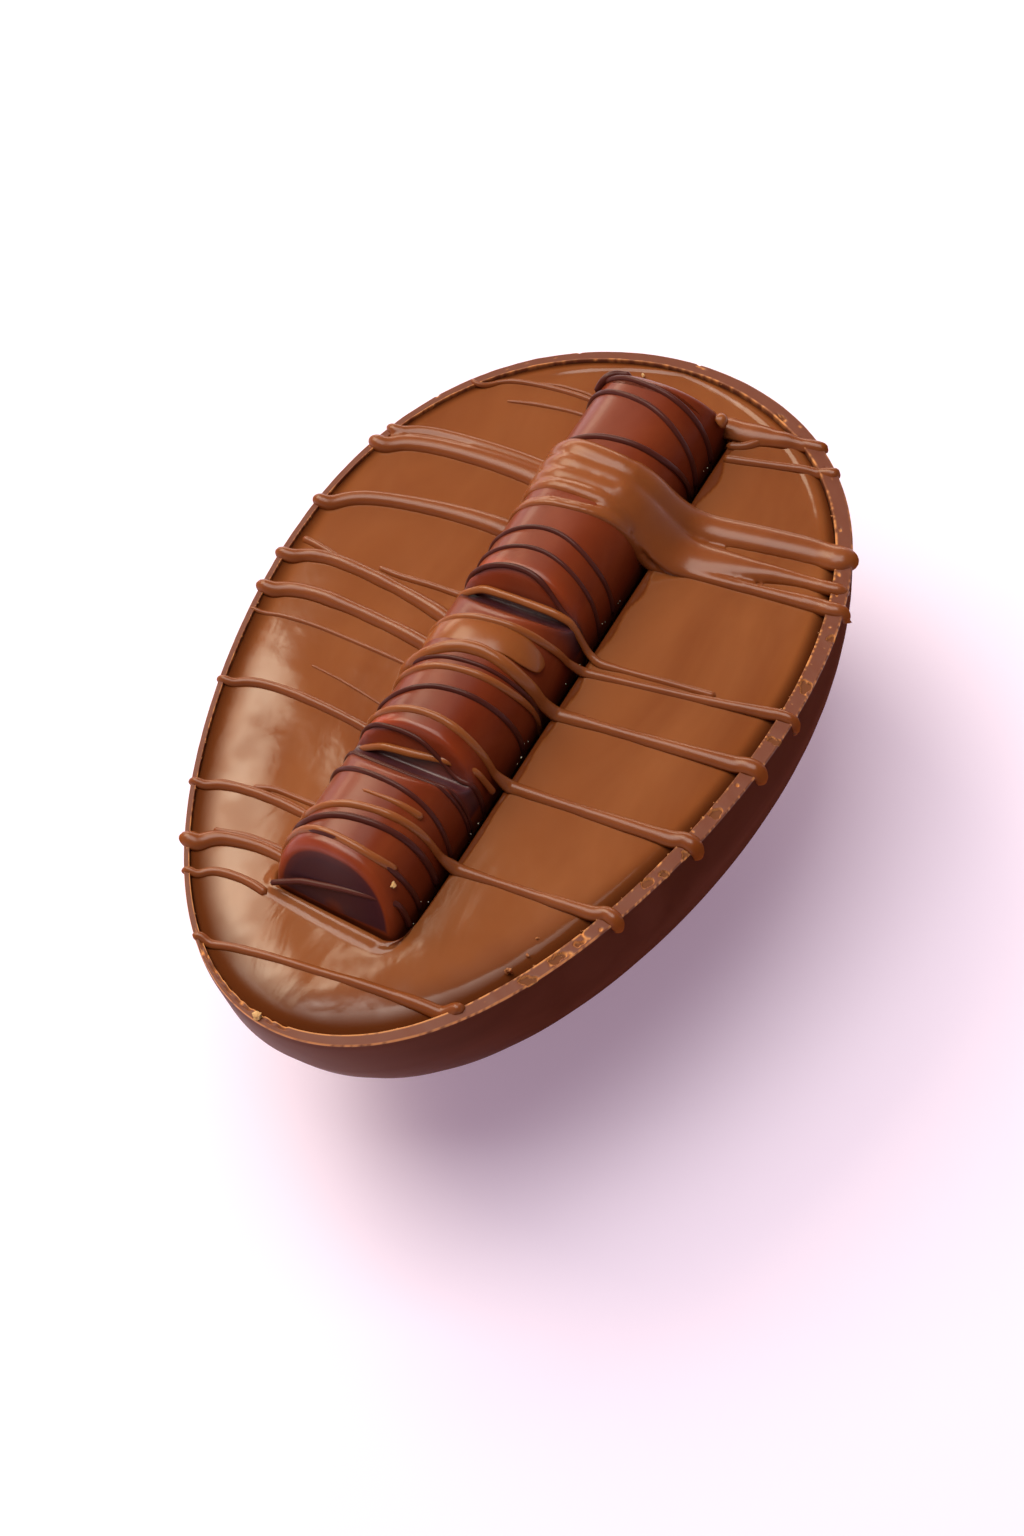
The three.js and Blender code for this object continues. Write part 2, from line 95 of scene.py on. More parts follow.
def hoops(rows):
    """Points and faces of the closed skin through those rows."""
    points = gathered(rows)
    grid = 1 + np.arange(len(points) - 2).reshape(-1, len(rows[0]))
    pole = 0 * grid[:1]
    grid = np.vstack([pole, grid, pole + len(points) - 1])
    low, high = grid[:-1], grid[1:]
    corners = low, np.roll(low, -1, 1), np.roll(high, -1, 1), high
    return points, np.stack(corners, -1).reshape(-1, 4)


def signed_volume(points, faces):
    """Volume inside closed faces of four corners, in cubic mm: negative if they point inwards."""
    a, b, c, d = (points[faces[:, k]] for k in range(4))
    return np.sum(a * (np.cross(b, c) + np.cross(c, d))) / 6


def keep_values(mesh, label, values):
    """Stores a number or a vector for each point of a mesh under a name."""
    kind, field = ("FLOAT_VECTOR", "vector") if np.ndim(values) == 2 else ("FLOAT", "value")
    mesh.attributes.new(label, kind, "POINT").data.foreach_set(field, np.ravel(values))


def linked(name, data):
    """A new object in the scene, at the origin."""
    one = bpy.data.objects.new(name, data)
    bpy.context.scene.collection.objects.link(one)
    return one


def piece_from(name, rows, marks, material):
    """A smooth piece of chocolate. Its faces are turned round if they point inwards, and a corner
    that a face has twice, at a pole, is dropped."""
    points, faces = hoops(rows)
    volume = signed_volume(points, faces)
    if volume < 0:
        faces = faces[:, ::-1]
    mesh = bpy.data.meshes.new(name)
    mesh.from_pydata(to_scene(points).tolist(), [], [list(dict.fromkeys(f)) for f in faces.tolist()])
    mesh.shade_smooth()
    for label, values in marks.items():
        keep_values(mesh, label, gathered(values))
    mesh.materials.append(material)
    print(f"{name}: {len(mesh.polygons)} faces, {abs(volume) / 1000:.1f} cm3")
    return linked(name, mesh)


# %% [markdown]
# ## Camera
#
# The camera looks down on the egg from over its pointed end, a little turned, with a fairly long
# lens so that the egg keeps its shape. Depth of field stays off, because this is a part to be
# looked at from any side and not a mood picture.

# %% Camera over the pointed end
LENS = 70.31
LOOK_AT = Vector((-16.83, -9.96, 0))
CAMERA_AZIMUTH = math.radians(-54.95)
CAMERA_ELEVATION = math.radians(52.62)
CAMERA_ROLL = math.radians(-10.59)
CAMERA_DISTANCE = 479.3
NEAREST_SEEN = 0.01


def towards(azimuth, elevation):
    """The direction at those angles: azimuth 0 is along -Y, elevation is up from the table."""
    flat = math.cos(elevation)
    return Vector((math.sin(azimuth) * flat, -math.cos(azimuth) * flat, math.sin(elevation)))


def looking_from(direction, roll=0.0):
    """The turn of a camera or lamp that stands in that direction and looks back at the egg."""
    right = Vector((0, 0, 1)).cross(direction).normalized()
    upright = Matrix((right, direction.cross(right), direction)).transposed()
    return (upright @ Matrix.Rotation(roll, 3, "Z")).to_euler()


camera_data = bpy.data.cameras.new("camera")
camera_data.lens = LENS
camera_data.clip_start = NEAREST_SEEN
camera = linked("camera", camera_data)
back = towards(CAMERA_AZIMUTH, CAMERA_ELEVATION)
camera.rotation_euler = looking_from(back, CAMERA_ROLL)
camera.location = to_scene(LOOK_AT + back * CAMERA_DISTANCE)
bpy.context.scene.camera = camera
print("camera at, mm:", [round(1000 * v) for v in camera.location])

# %% [markdown]
# ## Light
#
# Chocolate shows its gloss only if something bright is mirrored in it, and its colour only where
# nothing is. The key softbox stands behind, and the flat face mirrors its edge along the left side
# of the pool. A big softbox nearly overhead lights all the rest. A low one behind draws thin lines
# along the upper edges of the strands.

# %% Softboxes
# Name, azimuth, elevation, distance, size, watts, colour.
SOFTBOXES = [
    ("key", 165.5, 48, 1000, (690, 420), 5.8, (1, 0.87, 0.64)),
    ("top", 197, 80, 1300, (1000, 1000), 15.5, (1, 0.95, 0.87)),
    ("back", 128, 14, 900, (1000, 150), 2.4, (1, 0.82, 0.58)),
]


def softbox(name, azimuth, elevation, distance, size, watts, colour):
    """A flat lamp of that size in mm, facing the egg."""
    lamp = bpy.data.lights.new(name, "AREA")
    lamp.shape = "RECTANGLE"
    lamp.size, lamp.size_y = size[0] * MM, size[1] * MM
    lamp.energy = watts
    lamp.color = colour
    box = linked(name, lamp)
    direction = towards(math.radians(azimuth), math.radians(elevation))
    box.rotation_euler = looking_from(direction)
    box.location = to_scene(direction * distance)


for one in SOFTBOXES:
    softbox(*one)

# %% [markdown]
# ## Room and floor
#
# The room is a world shader. It is pale round the horizon, like a paper backdrop, most of all on
# the left and behind, which draws soft grey lines on all that slopes away. It is dim overhead, so
# that the flat face keeps its full brown. The floor is plain paper that glows a little, so that the
# shadow stays light. Both are node trees, as all the materials will be. Three short functions keep
# such trees readable: one sets or links a node's inputs, one adds a node, one adds a colour ramp.

# %% Functions for node trees
def fill(tree, node, inputs):
    """Gives a node its inputs: a socket is linked, and anything else is set."""
    for label, value in inputs.items():
        if isinstance(value, bpy.types.NodeSocket):
            tree.links.new(value, node.inputs[label])
        else:
            node.inputs[label].default_value = value


def add(tree, kind, inputs=None, output=None, **settings):
    """Adds a node and returns the output with that name, or its first one in use."""
    node = tree.nodes.new(kind)
    for label, value in settings.items():
        setattr(node, label, value)
    fill(tree, node, inputs or {})
    return node.outputs[output] if output else next(one for one in node.outputs if one.enabled)


def ramp(tree, value, *stops):
    """A colour ramp on a value, through two stops (position, colour)."""
    node = tree.nodes.new("ShaderNodeValToRGB")
    for element, (position, colour) in zip(node.color_ramp.elements, stops):
        element.color = (*colour, 1)
        element.position = position
    fill(tree, node, {"Fac": value})
    return node.outputs["Color"]


def new_material(name):
    """A material with its tree and its main shader."""
    material = bpy.data.materials.new(name)
    material.use_nodes = True
    return material, material.node_tree, material.node_tree.nodes["Principled BSDF"]


print("materials so far:", len(bpy.data.materials))

# %% The room
ROOM_HORIZON = (0.66, 0.58, 0.65)
ROOM_OVERHEAD = (0.21, 0.185, 0.2)
ROOM_FADE = (0.22, 0.5)
ROOM_BRIGHT_SIDE = (0.3, 0.95, 0)
ROOM_STRENGTH = (0.45, 1.0)
ROOM_SOFTNESS = 0.6

world = bpy.data.worlds.new("room")
world.use_nodes = True
room = world.node_tree
direction = add(room, "ShaderNodeTexCoord", output="Generated")
height = add(room, "ShaderNodeSeparateXYZ", {"Vector": direction}, "Z")
facing = add(room, "ShaderNodeVectorMath", {0: direction, 1: ROOM_BRIGHT_SIDE}, operation="DOT_PRODUCT")
strength = add(room, "ShaderNodeMapRange", {
    "Value": facing, "From Min": -ROOM_SOFTNESS, "From Max": ROOM_SOFTNESS,
    "To Min": ROOM_STRENGTH[0], "To Max": ROOM_STRENGTH[1],
})
fade = ramp(room, height, *zip(ROOM_FADE, (ROOM_HORIZON, ROOM_OVERHEAD)))
fill(room, room.nodes["Background"], {"Color": fade, "Strength": strength})
bpy.context.scene.world = world
bpy.context.scene.view_settings.view_transform = "Standard"
print("room:", len(room.nodes), "nodes")

# %% The floor
FLOOR_HALF = 2.5
FLOOR_COLOUR = (0.76, 0.70, 0.84, 1)
FLOOR_GLOW = (0.26, 0.18, 0.24, 1)
FLOOR_ROUGHNESS = 0.8

paper, tree, shader = new_material("pale_floor")
fill(tree, shader, {
    "Base Color": FLOOR_COLOUR, "Roughness": FLOOR_ROUGHNESS,
    "Emission Color": FLOOR_GLOW, "Emission Strength": 1,
})
floor_mesh = bpy.data.meshes.new("floor")
floor_corners = [(x * FLOOR_HALF, y * FLOOR_HALF, 0) for x, y in ((-1, -1), (1, -1), (1, 1), (-1, 1))]
floor_mesh.from_pydata(floor_corners, [], [(0, 1, 2, 3)])
floor_mesh.materials.append(paper)
floor = linked("floor", floor_mesh)
print("floor, m:", 2 * FLOOR_HALF)

# %% [markdown]
# ## Chocolate
#
# All the chocolates share one recipe. Milk chocolate lets a little light in, which softens it and
# makes its thin edges glow orange, so the shader has some subsurface. Its colour is never quite
# even: pale streaks from stirring run through it. Its surface has a slow ripple, which bends the
# mirrored softbox, and a very fine grain. A mark on the piece can tint it, where the chocolate is
# scraped or where painted light or painted shade is put into its colour, and another can say where
# it is glossy and where it is matt. Only the numbers differ from one chocolate to the next, so one
# function mixes them all.

# %% The chocolate recipe
STREAK_STRETCH = (0.5, 1.0, 1.0)
STREAK_TURN = (0, 0, math.radians(-8))
STREAK_CONTRAST = (0.32, 0.7)
ROUGHNESS_SPREAD = (-0.04, 0.05)
RIPPLE_SCALE, RIPPLE_DEPTH = 90, 0.001
FLOW_SCALE, FLOW_DEPTH = 130, 0.0015
GRAIN_SCALE, GRAIN_DEPTH, GRAIN = 900, 0.0002, 0.03
LIGHT_REACH, LIGHT_REACH_SCALE = (1.0, 0.35, 0.12), 0.0012
COCOA_BUTTER_IOR = 1.48


def chocolate(
    name, dark, light, roughness, soft=0.12, ripple=0.15, flow=0.0, streaks=38, shine=0.4, tints=None,
    matt_but=None,
):
    """A chocolate whose colour runs from dark to light in streaks. tints gives, for the name of a
    mark, the colour that the surface takes where that mark is 1. matt_but names the mark that it
    shines by, if it is matt elsewhere."""
    material, tree, shader = new_material(name)
    place = add(tree, "ShaderNodeTexCoord", output="Object")
    stretching = {"Vector": place, "Scale": STREAK_STRETCH, "Rotation": STREAK_TURN}
    stretched = add(tree, "ShaderNodeMapping", stretching)

    def noise(scale, detail, distortion=0.0, vector=place):
        sizes = {"Vector": vector, "Scale": scale, "Detail": detail, "Distortion": distortion}
        return add(tree, "ShaderNodeTexNoise", sizes)

    def mark(label):
        return add(tree, "ShaderNodeAttribute", output="Fac", attribute_name=label)

    swirl = noise(streaks, 4, 1.2, stretched)
    colour = ramp(tree, swirl, *zip(STREAK_CONTRAST, (dark, light)))
    for label, tint in (tints or {}).items():
        mixed = {"Factor": mark(label), "A": colour, "B": (*tint, 1)}
        colour = add(tree, "ShaderNodeMix", mixed, data_type="RGBA")
    least, most = (roughness + spread for spread in ROUGHNESS_SPREAD)
    rough = add(tree, "ShaderNodeMapRange", {"Value": swirl, "To Min": least, "To Max": most})
    level = shine
    if matt_but:
        level = add(tree, "ShaderNodeMapRange", {"Value": mark(matt_but), "To Min": 0, "To Max": shine})

    normal = {}
    for height, strength, depth in (
        (noise(RIPPLE_SCALE, 2), ripple, RIPPLE_DEPTH),
        (noise(FLOW_SCALE, 3, 0.6, stretched), flow, FLOW_DEPTH),
        (noise(GRAIN_SCALE, 3), GRAIN, GRAIN_DEPTH),
    ):
        if strength:
            bump = {"Height": height, "Strength": strength, "Distance": depth, **normal}
            normal = {"Normal": add(tree, "ShaderNodeBump", bump)}
    fill(tree, shader, {
        "Base Color": colour, "Roughness": rough, "Specular IOR Level": level, "IOR": COCOA_BUTTER_IOR,
        "Subsurface Weight": soft, "Subsurface Radius": LIGHT_REACH, "Subsurface Scale": LIGHT_REACH_SCALE,
        **normal,
    })
    return material


# The golden tint of the milk is a painted glow, put on strands that lie high on the bar.
milk = chocolate(
    "milk_chocolate", (0.190, 0.046, 0.010), (0.250, 0.068, 0.017), 0.25, shine=0.4,
    tints={"painted_glow": (0.36, 0.112, 0.026)}, matt_but="gloss",
)
print("mixed:", milk.name)

# %% [markdown]
# ## The egg's form
#
# An egg is easy to draw as rays from a point in the middle of its flat face. How far each ray goes
# is found by halving: inside or outside, over and over, for all the rays at once. The cavity is
# the same egg, set in by the thickness of the wall and shifted a little, because the shell set
# thinner on one side.

# %% Rays to the egg and to its cavity
BLUNT, FULL, SQUARE = 0.184, 0.073, 0.02
SECTION_POWER = 2.2
WALL, WALL_BELOW = 1.95, 3
CAVITY_SHIFT = np.array([-0.3, 0.8])
MIDDLE_X = 5
HALVINGS = 32


def half_width(x):
    """Half the egg's width at x."""
    c = np.clip(x / HALF_LENGTH, -1, 1)
    return HALF_WIDTH * np.sqrt(1 - c**2) * (1 + BLUNT * c + FULL * c**2 - SQUARE * c**3)


def flare(x):
    """How much half the width grows in a millimetre along x."""
    return half_width(x + 0.5) - half_width(x - 0.5)


def cavity_edge(x, side):
    """The y of the cavity's edge at x, on the side +1 or -1."""
    inner = (x - CAVITY_SHIFT[0]) / (1 - WALL / HALF_LENGTH)
    return CAVITY_SHIFT[1] + side * half_width(inner) * (1 - WALL / WIDEST)


def reach(rays, wall=0.0, below=0.0, shift=(0.0, 0.0)):
    """How far each ray from the middle of the face goes inside the egg, or inside the egg set in."""
    low = np.zeros(rays.shape[:-1])
    high = np.full(rays.shape[:-1], 2.0 * HALF_LENGTH)
    for _ in range(HALVINGS):
        middle = (low + high) / 2
        p = rays * middle[..., None] + [MIDDLE_X, 0, 0]
        x = (p[..., 0] - shift[0]) / (1 - wall / HALF_LENGTH)
        half = np.maximum(half_width(x), 1e-6)
        across = np.abs(p[..., 1] - shift[1]) / (half * (1 - wall / WIDEST))
        down = np.abs(p[..., 2]) / (half * DEPTH_TO_WIDTH * (1 - below / (WIDEST * DEPTH_TO_WIDTH)))
        inside = (across**SECTION_POWER + down**SECTION_POWER < 1) & (np.abs(x) < HALF_LENGTH)
        low = np.where(inside, middle, low)
        high = np.where(inside, high, middle)
    return low


def ray(turn, dip):
    """Directions at those angles round the face and down from it."""
    return np.stack([np.cos(turn) * np.cos(dip), np.sin(turn) * np.cos(dip), -np.sin(dip)], -1)


def row_at(turn, dip, *inset):
    """A row of points on the egg at one dip, or on the egg set in as reach() says."""
    rays = ray(turn, dip + 0 * turn)
    return rays * reach(rays, *inset)[:, None] + [MIDDLE_X, 0, 0]


print("widest, mm:", round(2 * half_width(np.linspace(-HALF_LENGTH, HALF_LENGTH, 999)).max(), 1))

# %% [markdown]
# Nothing that sets from a liquid is quite even. Two functions give smooth random values: one round
# a closed loop, and one in waves over the face. Noise textures would do the same in a material, but
# these also move the points. The egg's columns of points stand closer along the near side, because
# the rim is chipped there.

# %% Uneven lines and the egg's columns
COLUMNS = 1400
FINE_TURNS = 3600


def smoothstep(value, low=0.0, high=1.0):
    """0 below low, 1 above high, and an easy rise between them."""
    t = np.clip((value - low) / (high - low), 0, 1)
    return t * t * (3 - 2 * t)


def bell(value, centre, spread):
    """1 at the centre, falling away on both sides of it."""
    return np.exp(-(((value - centre) / spread) ** 2))


def ripples(turn, seed, waves=24, power=0.7):
    """A smooth random line round a closed loop, about -1 to 1."""
    random = np.random.default_rng(seed)
    total = np.zeros_like(turn)
    for k in range(1, waves + 1):
        total += np.sin(k * turn + random.uniform(0, 2 * np.pi)) / k**power * random.uniform(0.5, 1)
    return total / np.abs(total).max()


def waves(x, y, seed=5, count=14, longest=38, shortest=9):
    """Slow waves in all directions, about -1 to 1."""
    random = np.random.default_rng(seed)
    total = 0 * x
    for length in np.geomspace(longest, shortest, count):
        turn, phase = random.uniform(0, 2 * np.pi, 2)
        along = x * np.cos(turn) + y * np.sin(turn)
        total = total + np.sin(along * 2 * np.pi / length + phase) * length / longest
    return total / 4


def turns_round(count, centre=248, half=52, closer=2.2):
    """Turns round the egg, closer together along the near side."""
    fine = np.arange(FINE_TURNS) / 10
    weight = 1 + closer * (1 - smoothstep(np.abs(fine - centre), half, half + 12))
    total = np.r_[0, np.cumsum(weight)]
    even = np.linspace(0, 2 * np.pi, FINE_TURNS + 1)
    return np.interp(np.arange(count) / count * total[-1], total, even)


TURNS = turns_round(COLUMNS)
outer_rim = reach(ray(TURNS, 0 * TURNS))
thickness = outer_rim - reach(ray(TURNS, 0 * TURNS), WALL, WALL_BELOW, CAVITY_SHIFT)
print("rim thickness, mm:", round(thickness.min(), 2), "to", round(thickness.max(), 2))

# %% [markdown]
# ## The shell
#
# The shell is one closed skin: up the outside from the pole underneath, over the rim, and down the
# cavity to the pole inside. The rim is where the eye goes. It was scraped level while it was still
# soft, so its edges are thin and not quite even, and small chips have broken out of the near side.
# Each chip is a shallow dent with a dark core and a ragged edge, pressed into the rim's rows of
# points. Bright lines along the rim's edges and round the chips are painted light, a painted
# highlight and glow in the colour.

# %% The rim, its chips and its edges
RIM_PROFILE = [
    (0, -1.6), (0, -1.0), (0, -0.65), (0, -0.42), (0.003, -0.25), (0.015, -0.11), (0.04, -0.02), (0.08, 0.02),
    *((k / 100, 0) for k in range(12, 88, 5)),
    (0.9, 0.03), (0.945, 0.08), (0.975, 0.02), (1, -0.25), (1, -0.5), (1, -0.8), (1, -1.4), (1, -3),
]
# Chips: x, share of the way in across the rim, half their length.
CHIPS = [
    (-52.0, 0.45, 2.2), (-46.4, 0.5, 2.4), (-42.6, 0.4, 1.5), (-29.0, 0.6, 1.5), (-26.4, 0.3, 1.2),
    (-22.4, 0.1, 1.6), (-12.4, 0.4, 1.7), (3.6, 0.4, 1.4), (15.0, 0.45, 2.2), (26.0, 0.3, 1.2),
]
CHIP_ACROSS = 1.7
CHIP_DEPTH = 0.45
CHIP_REACH, CHIP_RAGGED, CHIP_EDGE = 1.15, 0.55, (0.5, 0.72)
TEETH_FROM, TEETH_TO, TEETH_START = -74.6, -63.5, (0.45, 0.55)
TOOTH_LENGTH, TOOTH_DRIFT = 2.2, 1.7
# Painted light along the edges: its level and fall outside, and its start and rise inside, by share.
LIT_OUTSIDE, LIT_INSIDE, LIT_DOWN = (1.3, 0.08), (0.84, 0.06), -0.4
LIT_WALL, LIT_WALL_DEPTH = 0.6, (-1.4, -0.5)
LIT_LEAST, LIT_SPOTS, LIT_SPOT_WAVES = 0.1, (-0.15, 0.5), 420
LIT_MORE, LIT_MORE_FROM = 0.45, (30, 50)


def on_rim(share, height):
    """A row of points on the rim: share 0 is its outer edge and 1 its inner edge."""
    row = ray(TURNS, 0 * TURNS) * (outer_rim - share * thickness)[:, None] + [MIDDLE_X, 0, 0]
    row[:, 2] = height
    return row


def broken(row, share):
    """How far the rim has broken out at each point of the row, 0 to 1: ragged in and round the
    chips, and square teeth in the inner half round the pointed end."""
    x, y = row[:, 0], row[:, 1]
    felt = 0 * x
    for place, chip_share, half_length in CHIPS:
        near = np.hypot((x - place) / half_length, (share - chip_share) * CHIP_ACROSS)
        felt = np.maximum(felt, np.where(y < 0, CHIP_REACH - near, 0))
    grain = waves(x, y, seed=4, count=16, longest=4.0, shortest=1.1)
    chips = smoothstep(felt + CHIP_RAGGED * grain, *CHIP_EDGE)
    pointed = (x > TEETH_FROM) & (x < TEETH_TO) & (y > 0)
    tooth = smoothstep(np.sin(y * 2 * np.pi / TOOTH_LENGTH) + 0.5 * np.sin(y * TOOTH_DRIFT), 0, 0.25)
    return np.maximum(chips, np.where(pointed, tooth * smoothstep(share, *TEETH_START), 0))


def lit_edge(row, share, height):
    """How much painted light, a painted highlight and glow, the rim's thin edges get. It comes in
    spots, with fewer gaps round the pointed end."""
    outside = LIT_OUTSIDE[0] - share / LIT_OUTSIDE[1]
    inside = (share - LIT_INSIDE[0]) / LIT_INSIDE[1]
    edge = max(outside, inside, 0) if height > LIT_DOWN else 0
    if share == 1:
        edge = LIT_WALL * float(smoothstep(height, *LIT_WALL_DEPTH))
    jagged = ripples(TURNS, 31 + int(share > 0.5), waves=LIT_SPOT_WAVES, power=0.3)
    spotted = smoothstep(jagged + LIT_MORE * smoothstep(-row[:, 0], *LIT_MORE_FROM), *LIT_SPOTS)
    return min(edge, 1) * (LIT_LEAST + (1 - LIT_LEAST) * spotted)


print("rim rows:", len(RIM_PROFILE), "chips:", len(CHIPS))

# %% [markdown]
# The outside was cast against the mould and is matt, but the mould had been polished round the
# pointed end, so the shell is glossier there. It is also painted a little paler there, a painted
# sheen in place of the mirrored floor. The scraped rim is paler still. Marks on the points say all
# this, so the shell needs only one material.

# %% The shell's rows
OUTSIDE_ROWS = 24
INSIDE_ROWS = 5
RIM_SKIN = -0.6
RIM_WORN = 0.06
RIM_PALE = 0.8
# CHIP_EDGE_LIT and CHIP_CORE_LIT put painted light on the chips' ragged edges and into their cores.
CHIP_DARK, CHIP_DULL, CHIP_EDGE_LIT, CHIP_CORE_LIT = 0.85, 0.75, 3.8, 0.12
POLISH, POLISH_FROM, POLISH_ACROSS = 0.22, (38, 60), (-30, 0)


def polish_and_sheen(row):
    """How glossy the outside is, and how much painted sheen it gets: it fades from the pointed end,
    and towards the right.
    """
    return POLISH * smoothstep(-row[:, 0], *POLISH_FROM) * smoothstep(row[:, 1], *POLISH_ACROSS)


def shell_rows():
    """Rows of the shell, and for each how pale it is, from scraping and from a painted sheen, how
    much painted light it gets, and how glossy it is.
    """
    rows, marks = [], {"pale": [], "lit": [], "gloss": []}
    for dip in np.linspace(np.pi / 2, 0, OUTSIDE_ROWS + 1)[:-2]:
        row = row_at(TURNS, dip)
        row[:, 2] = np.maximum(row[:, 2], -FACE_HEIGHT)
        add_row(rows, marks, row, pale=2 * polish_and_sheen(row), gloss=polish_and_sheen(row))
    for share, height in RIM_PROFILE:
        row = on_rim(share, height)
        out = 0 * TURNS
        if height > RIM_SKIN:
            out = broken(row, share) * smoothstep(height, -0.5, -0.2)
            uneven = waves(*row[:, :2].T, seed=9, count=16, longest=9, shortest=1.8)
            row[:, 2] += RIM_WORN * uneven * smoothstep(height, RIM_SKIN, 0) - CHIP_DEPTH * out
        scraped = smoothstep(height, -0.45, -0.1) if share < 1 else smoothstep(height, -3, -1)
        # Painted light along the rim's edges and in the chips.
        lit_chip = lit_edge(row, share, height) + CHIP_EDGE_LIT * out * (1 - out) + CHIP_CORE_LIT * out
        add_row(
            rows, marks, row,
            pale=np.maximum(RIM_PALE * scraped * (1 - CHIP_DARK * out), 2 * polish_and_sheen(row)),
            lit=np.clip(lit_chip, 0, 1),
            gloss=np.maximum(scraped * (1 - CHIP_DULL * out), polish_and_sheen(row)),
        )
    for dip in np.linspace(0.1, np.pi / 2, INSIDE_ROWS):
        add_row(rows, marks, row_at(TURNS, dip, WALL, WALL_BELOW, CAVITY_SHIFT))
    return rows, marks


# The lit tint is painted light. The pale tint is the scraped rim and, round the pointed end, a painted sheen.
shell_chocolate = chocolate(
    "shell_chocolate", (0.070, 0.018, 0.010), (0.100, 0.028, 0.017), 0.45, shine=0.25,
    tints={"pale": (0.180, 0.052, 0.027), "lit": (0.66, 0.27, 0.09)}, matt_but="gloss",
)
shell = piece_from("egg_shell", *shell_rows(), shell_chocolate)

# %% [markdown]
# ## The filling
#
# The filling was poured, so its top is a calm pool. Its mesh runs from the outline of the bar's
# pocket to the outline of the shell's cavity, row by row, so that both edges get fine rows and
# their rounding is real. Cutting the pocket out of a finished pool would give neither. First come
# the two outlines, each with as many points as the egg has columns.

# %% Outlines of the pocket and of the pool
GAP = 0.3
POOL_EDGE_GAP = 0.12
BAR_CENTRE = np.array([6, 1.5])
BAR_TURN = math.radians(-2.1)
BAR_NEAR, BAR_FAR = -58.6, 58
BAR_HALF_WIDTH = 11.3
POCKET_CLEAR = {"near": 0.45, "far": 0.8, "left": 0.5, "right": 1.5}
POCKET_CORNER = 3
POCKET_SKEW = 1.5


def from_bar(points):
    """Points in the bar's own frame, in the egg's."""
    cos, sin = math.cos(BAR_TURN), math.sin(BAR_TURN)
    points = np.array(points, float)
    x, y = points[..., 0].copy(), points[..., 1].copy()
    points[..., 0] = BAR_CENTRE[0] + cos * x - sin * y
    points[..., 1] = BAR_CENTRE[1] + sin * x + cos * y
    return points


def evenly(line, count):
    """Points at even steps along a closed line, from where it crosses +X of its middle."""
    closed = np.vstack([line, line[:1]])
    length = np.r_[0, np.cumsum(np.linalg.norm(np.diff(closed, axis=0), axis=1))]
    start = length[np.argmin(np.abs(np.arctan2(line[:, 1], line[:, 0] - MIDDLE_X)))]
    places = (start + np.arange(count) / count * length[-1]) % length[-1]
    return np.column_stack([np.interp(places, length, closed[:, k]) for k in range(2)])


def pocket_outline():
    """The pocket's rounded corners, one after the other."""
    r = POCKET_CORNER
    near, far = BAR_NEAR - POCKET_CLEAR["near"] + r, BAR_FAR + POCKET_CLEAR["far"] - r
    left, right = BAR_HALF_WIDTH + POCKET_CLEAR["left"] - r, r - BAR_HALF_WIDTH - POCKET_CLEAR["right"]
    line = []
    for number, (x, y) in enumerate([(far, right), (far, left), (near + POCKET_SKEW, left), (near, right)]):
        turn = np.linspace(number - 1, number, 12) * np.pi / 2
        line.append(np.column_stack([x + r * np.cos(turn), y + r * np.sin(turn)]))
    return from_bar(np.vstack(line))


pocket_edge = evenly(pocket_outline(), COLUMNS)
pool_edge = evenly(row_at(TURNS, 0, WALL + POOL_EDGE_GAP, WALL_BELOW + GAP, CAVITY_SHIFT)[:, :2], COLUMNS)
print("pool, mm:", (pool_edge.max(0) - pool_edge.min(0)).round(1))

# %% [markdown]
# The pool isn't quite level. It rolls down where it meets the shell, narrowly on the right and
# slowly at the pointed end. Towards the blunt end it has a fine ridge on the right, where it ran up
# against the wall, and round the left and the pointed end a broad low swell. The swell bends the
# mirrored softbox into a band along the left. The numbers round the edge are given at a few turns,
# in degrees.

# %% Height of the pool
FILLING_LEVEL = -0.7
EDGE_TURNS = [-180, -150, -120, -60, -30, 0, 60, 90, 150, 180]
EDGE_ROLL = [6.0, 4.0, 2.8, 2.6, 3.0, 3.0, 3.0, 3.0, 4.0, 6.0]
EDGE_DROP = [1.1, 1.4, 1.5, 1.3, 0.5, 0.1, -0.2, -0.25, -0.1, 1.1]
EDGE_SHADE = [12, 7.5, 3.4, 3.0, 1.5, 1.0, 1.6, 3.4, 5.0, 12]
EDGE_SHINE = [6.0, 6.0, 6.5, 6.5, 3.0, 1.5, 2.5, 5.5, 6.0, 6.0]
EDGE_POWER = 2.2
RIDGE = {"high": 0.3, "from_edge": 1.9, "spread": 1.0, "start": -48, "end": 30, "fade": 14}
SWELL = {"high": 0.36, "from_edge": 11.5, "spread": 6.5, "start": 55, "end": 222, "fade": 40}


def raised(turn, inset, high, from_edge, spread, start, end, fade):
    """A low rise that follows the wall from one turn to another and fades at both ends."""
    ends = smoothstep(turn, start, start + fade) * smoothstep(-turn, -end, fade - end)
    return high * bell(inset, from_edge, spread) * ends


def pool_height(x, y):
    """Height of the filling's top, before its waves."""
    edge = cavity_edge(x, np.where(y > CAVITY_SHIFT[1], 1, -1))
    inset = np.abs(edge - y) / np.hypot(1, flare(x))
    turn = np.degrees(np.arctan2(y, x - MIDDLE_X))
    roll, drop = (np.interp(turn, EDGE_TURNS, values) for values in (EDGE_ROLL, EDGE_DROP))
    rolled = FILLING_LEVEL - drop * np.clip(1 - inset / roll, 0, 1) ** EDGE_POWER
    return rolled + raised(turn, inset, **RIDGE) + raised(turn % 360, inset, **SWELL)


print("pool at the bar's near end, mm:", pool_height(-55.0, 0.0).round(2))
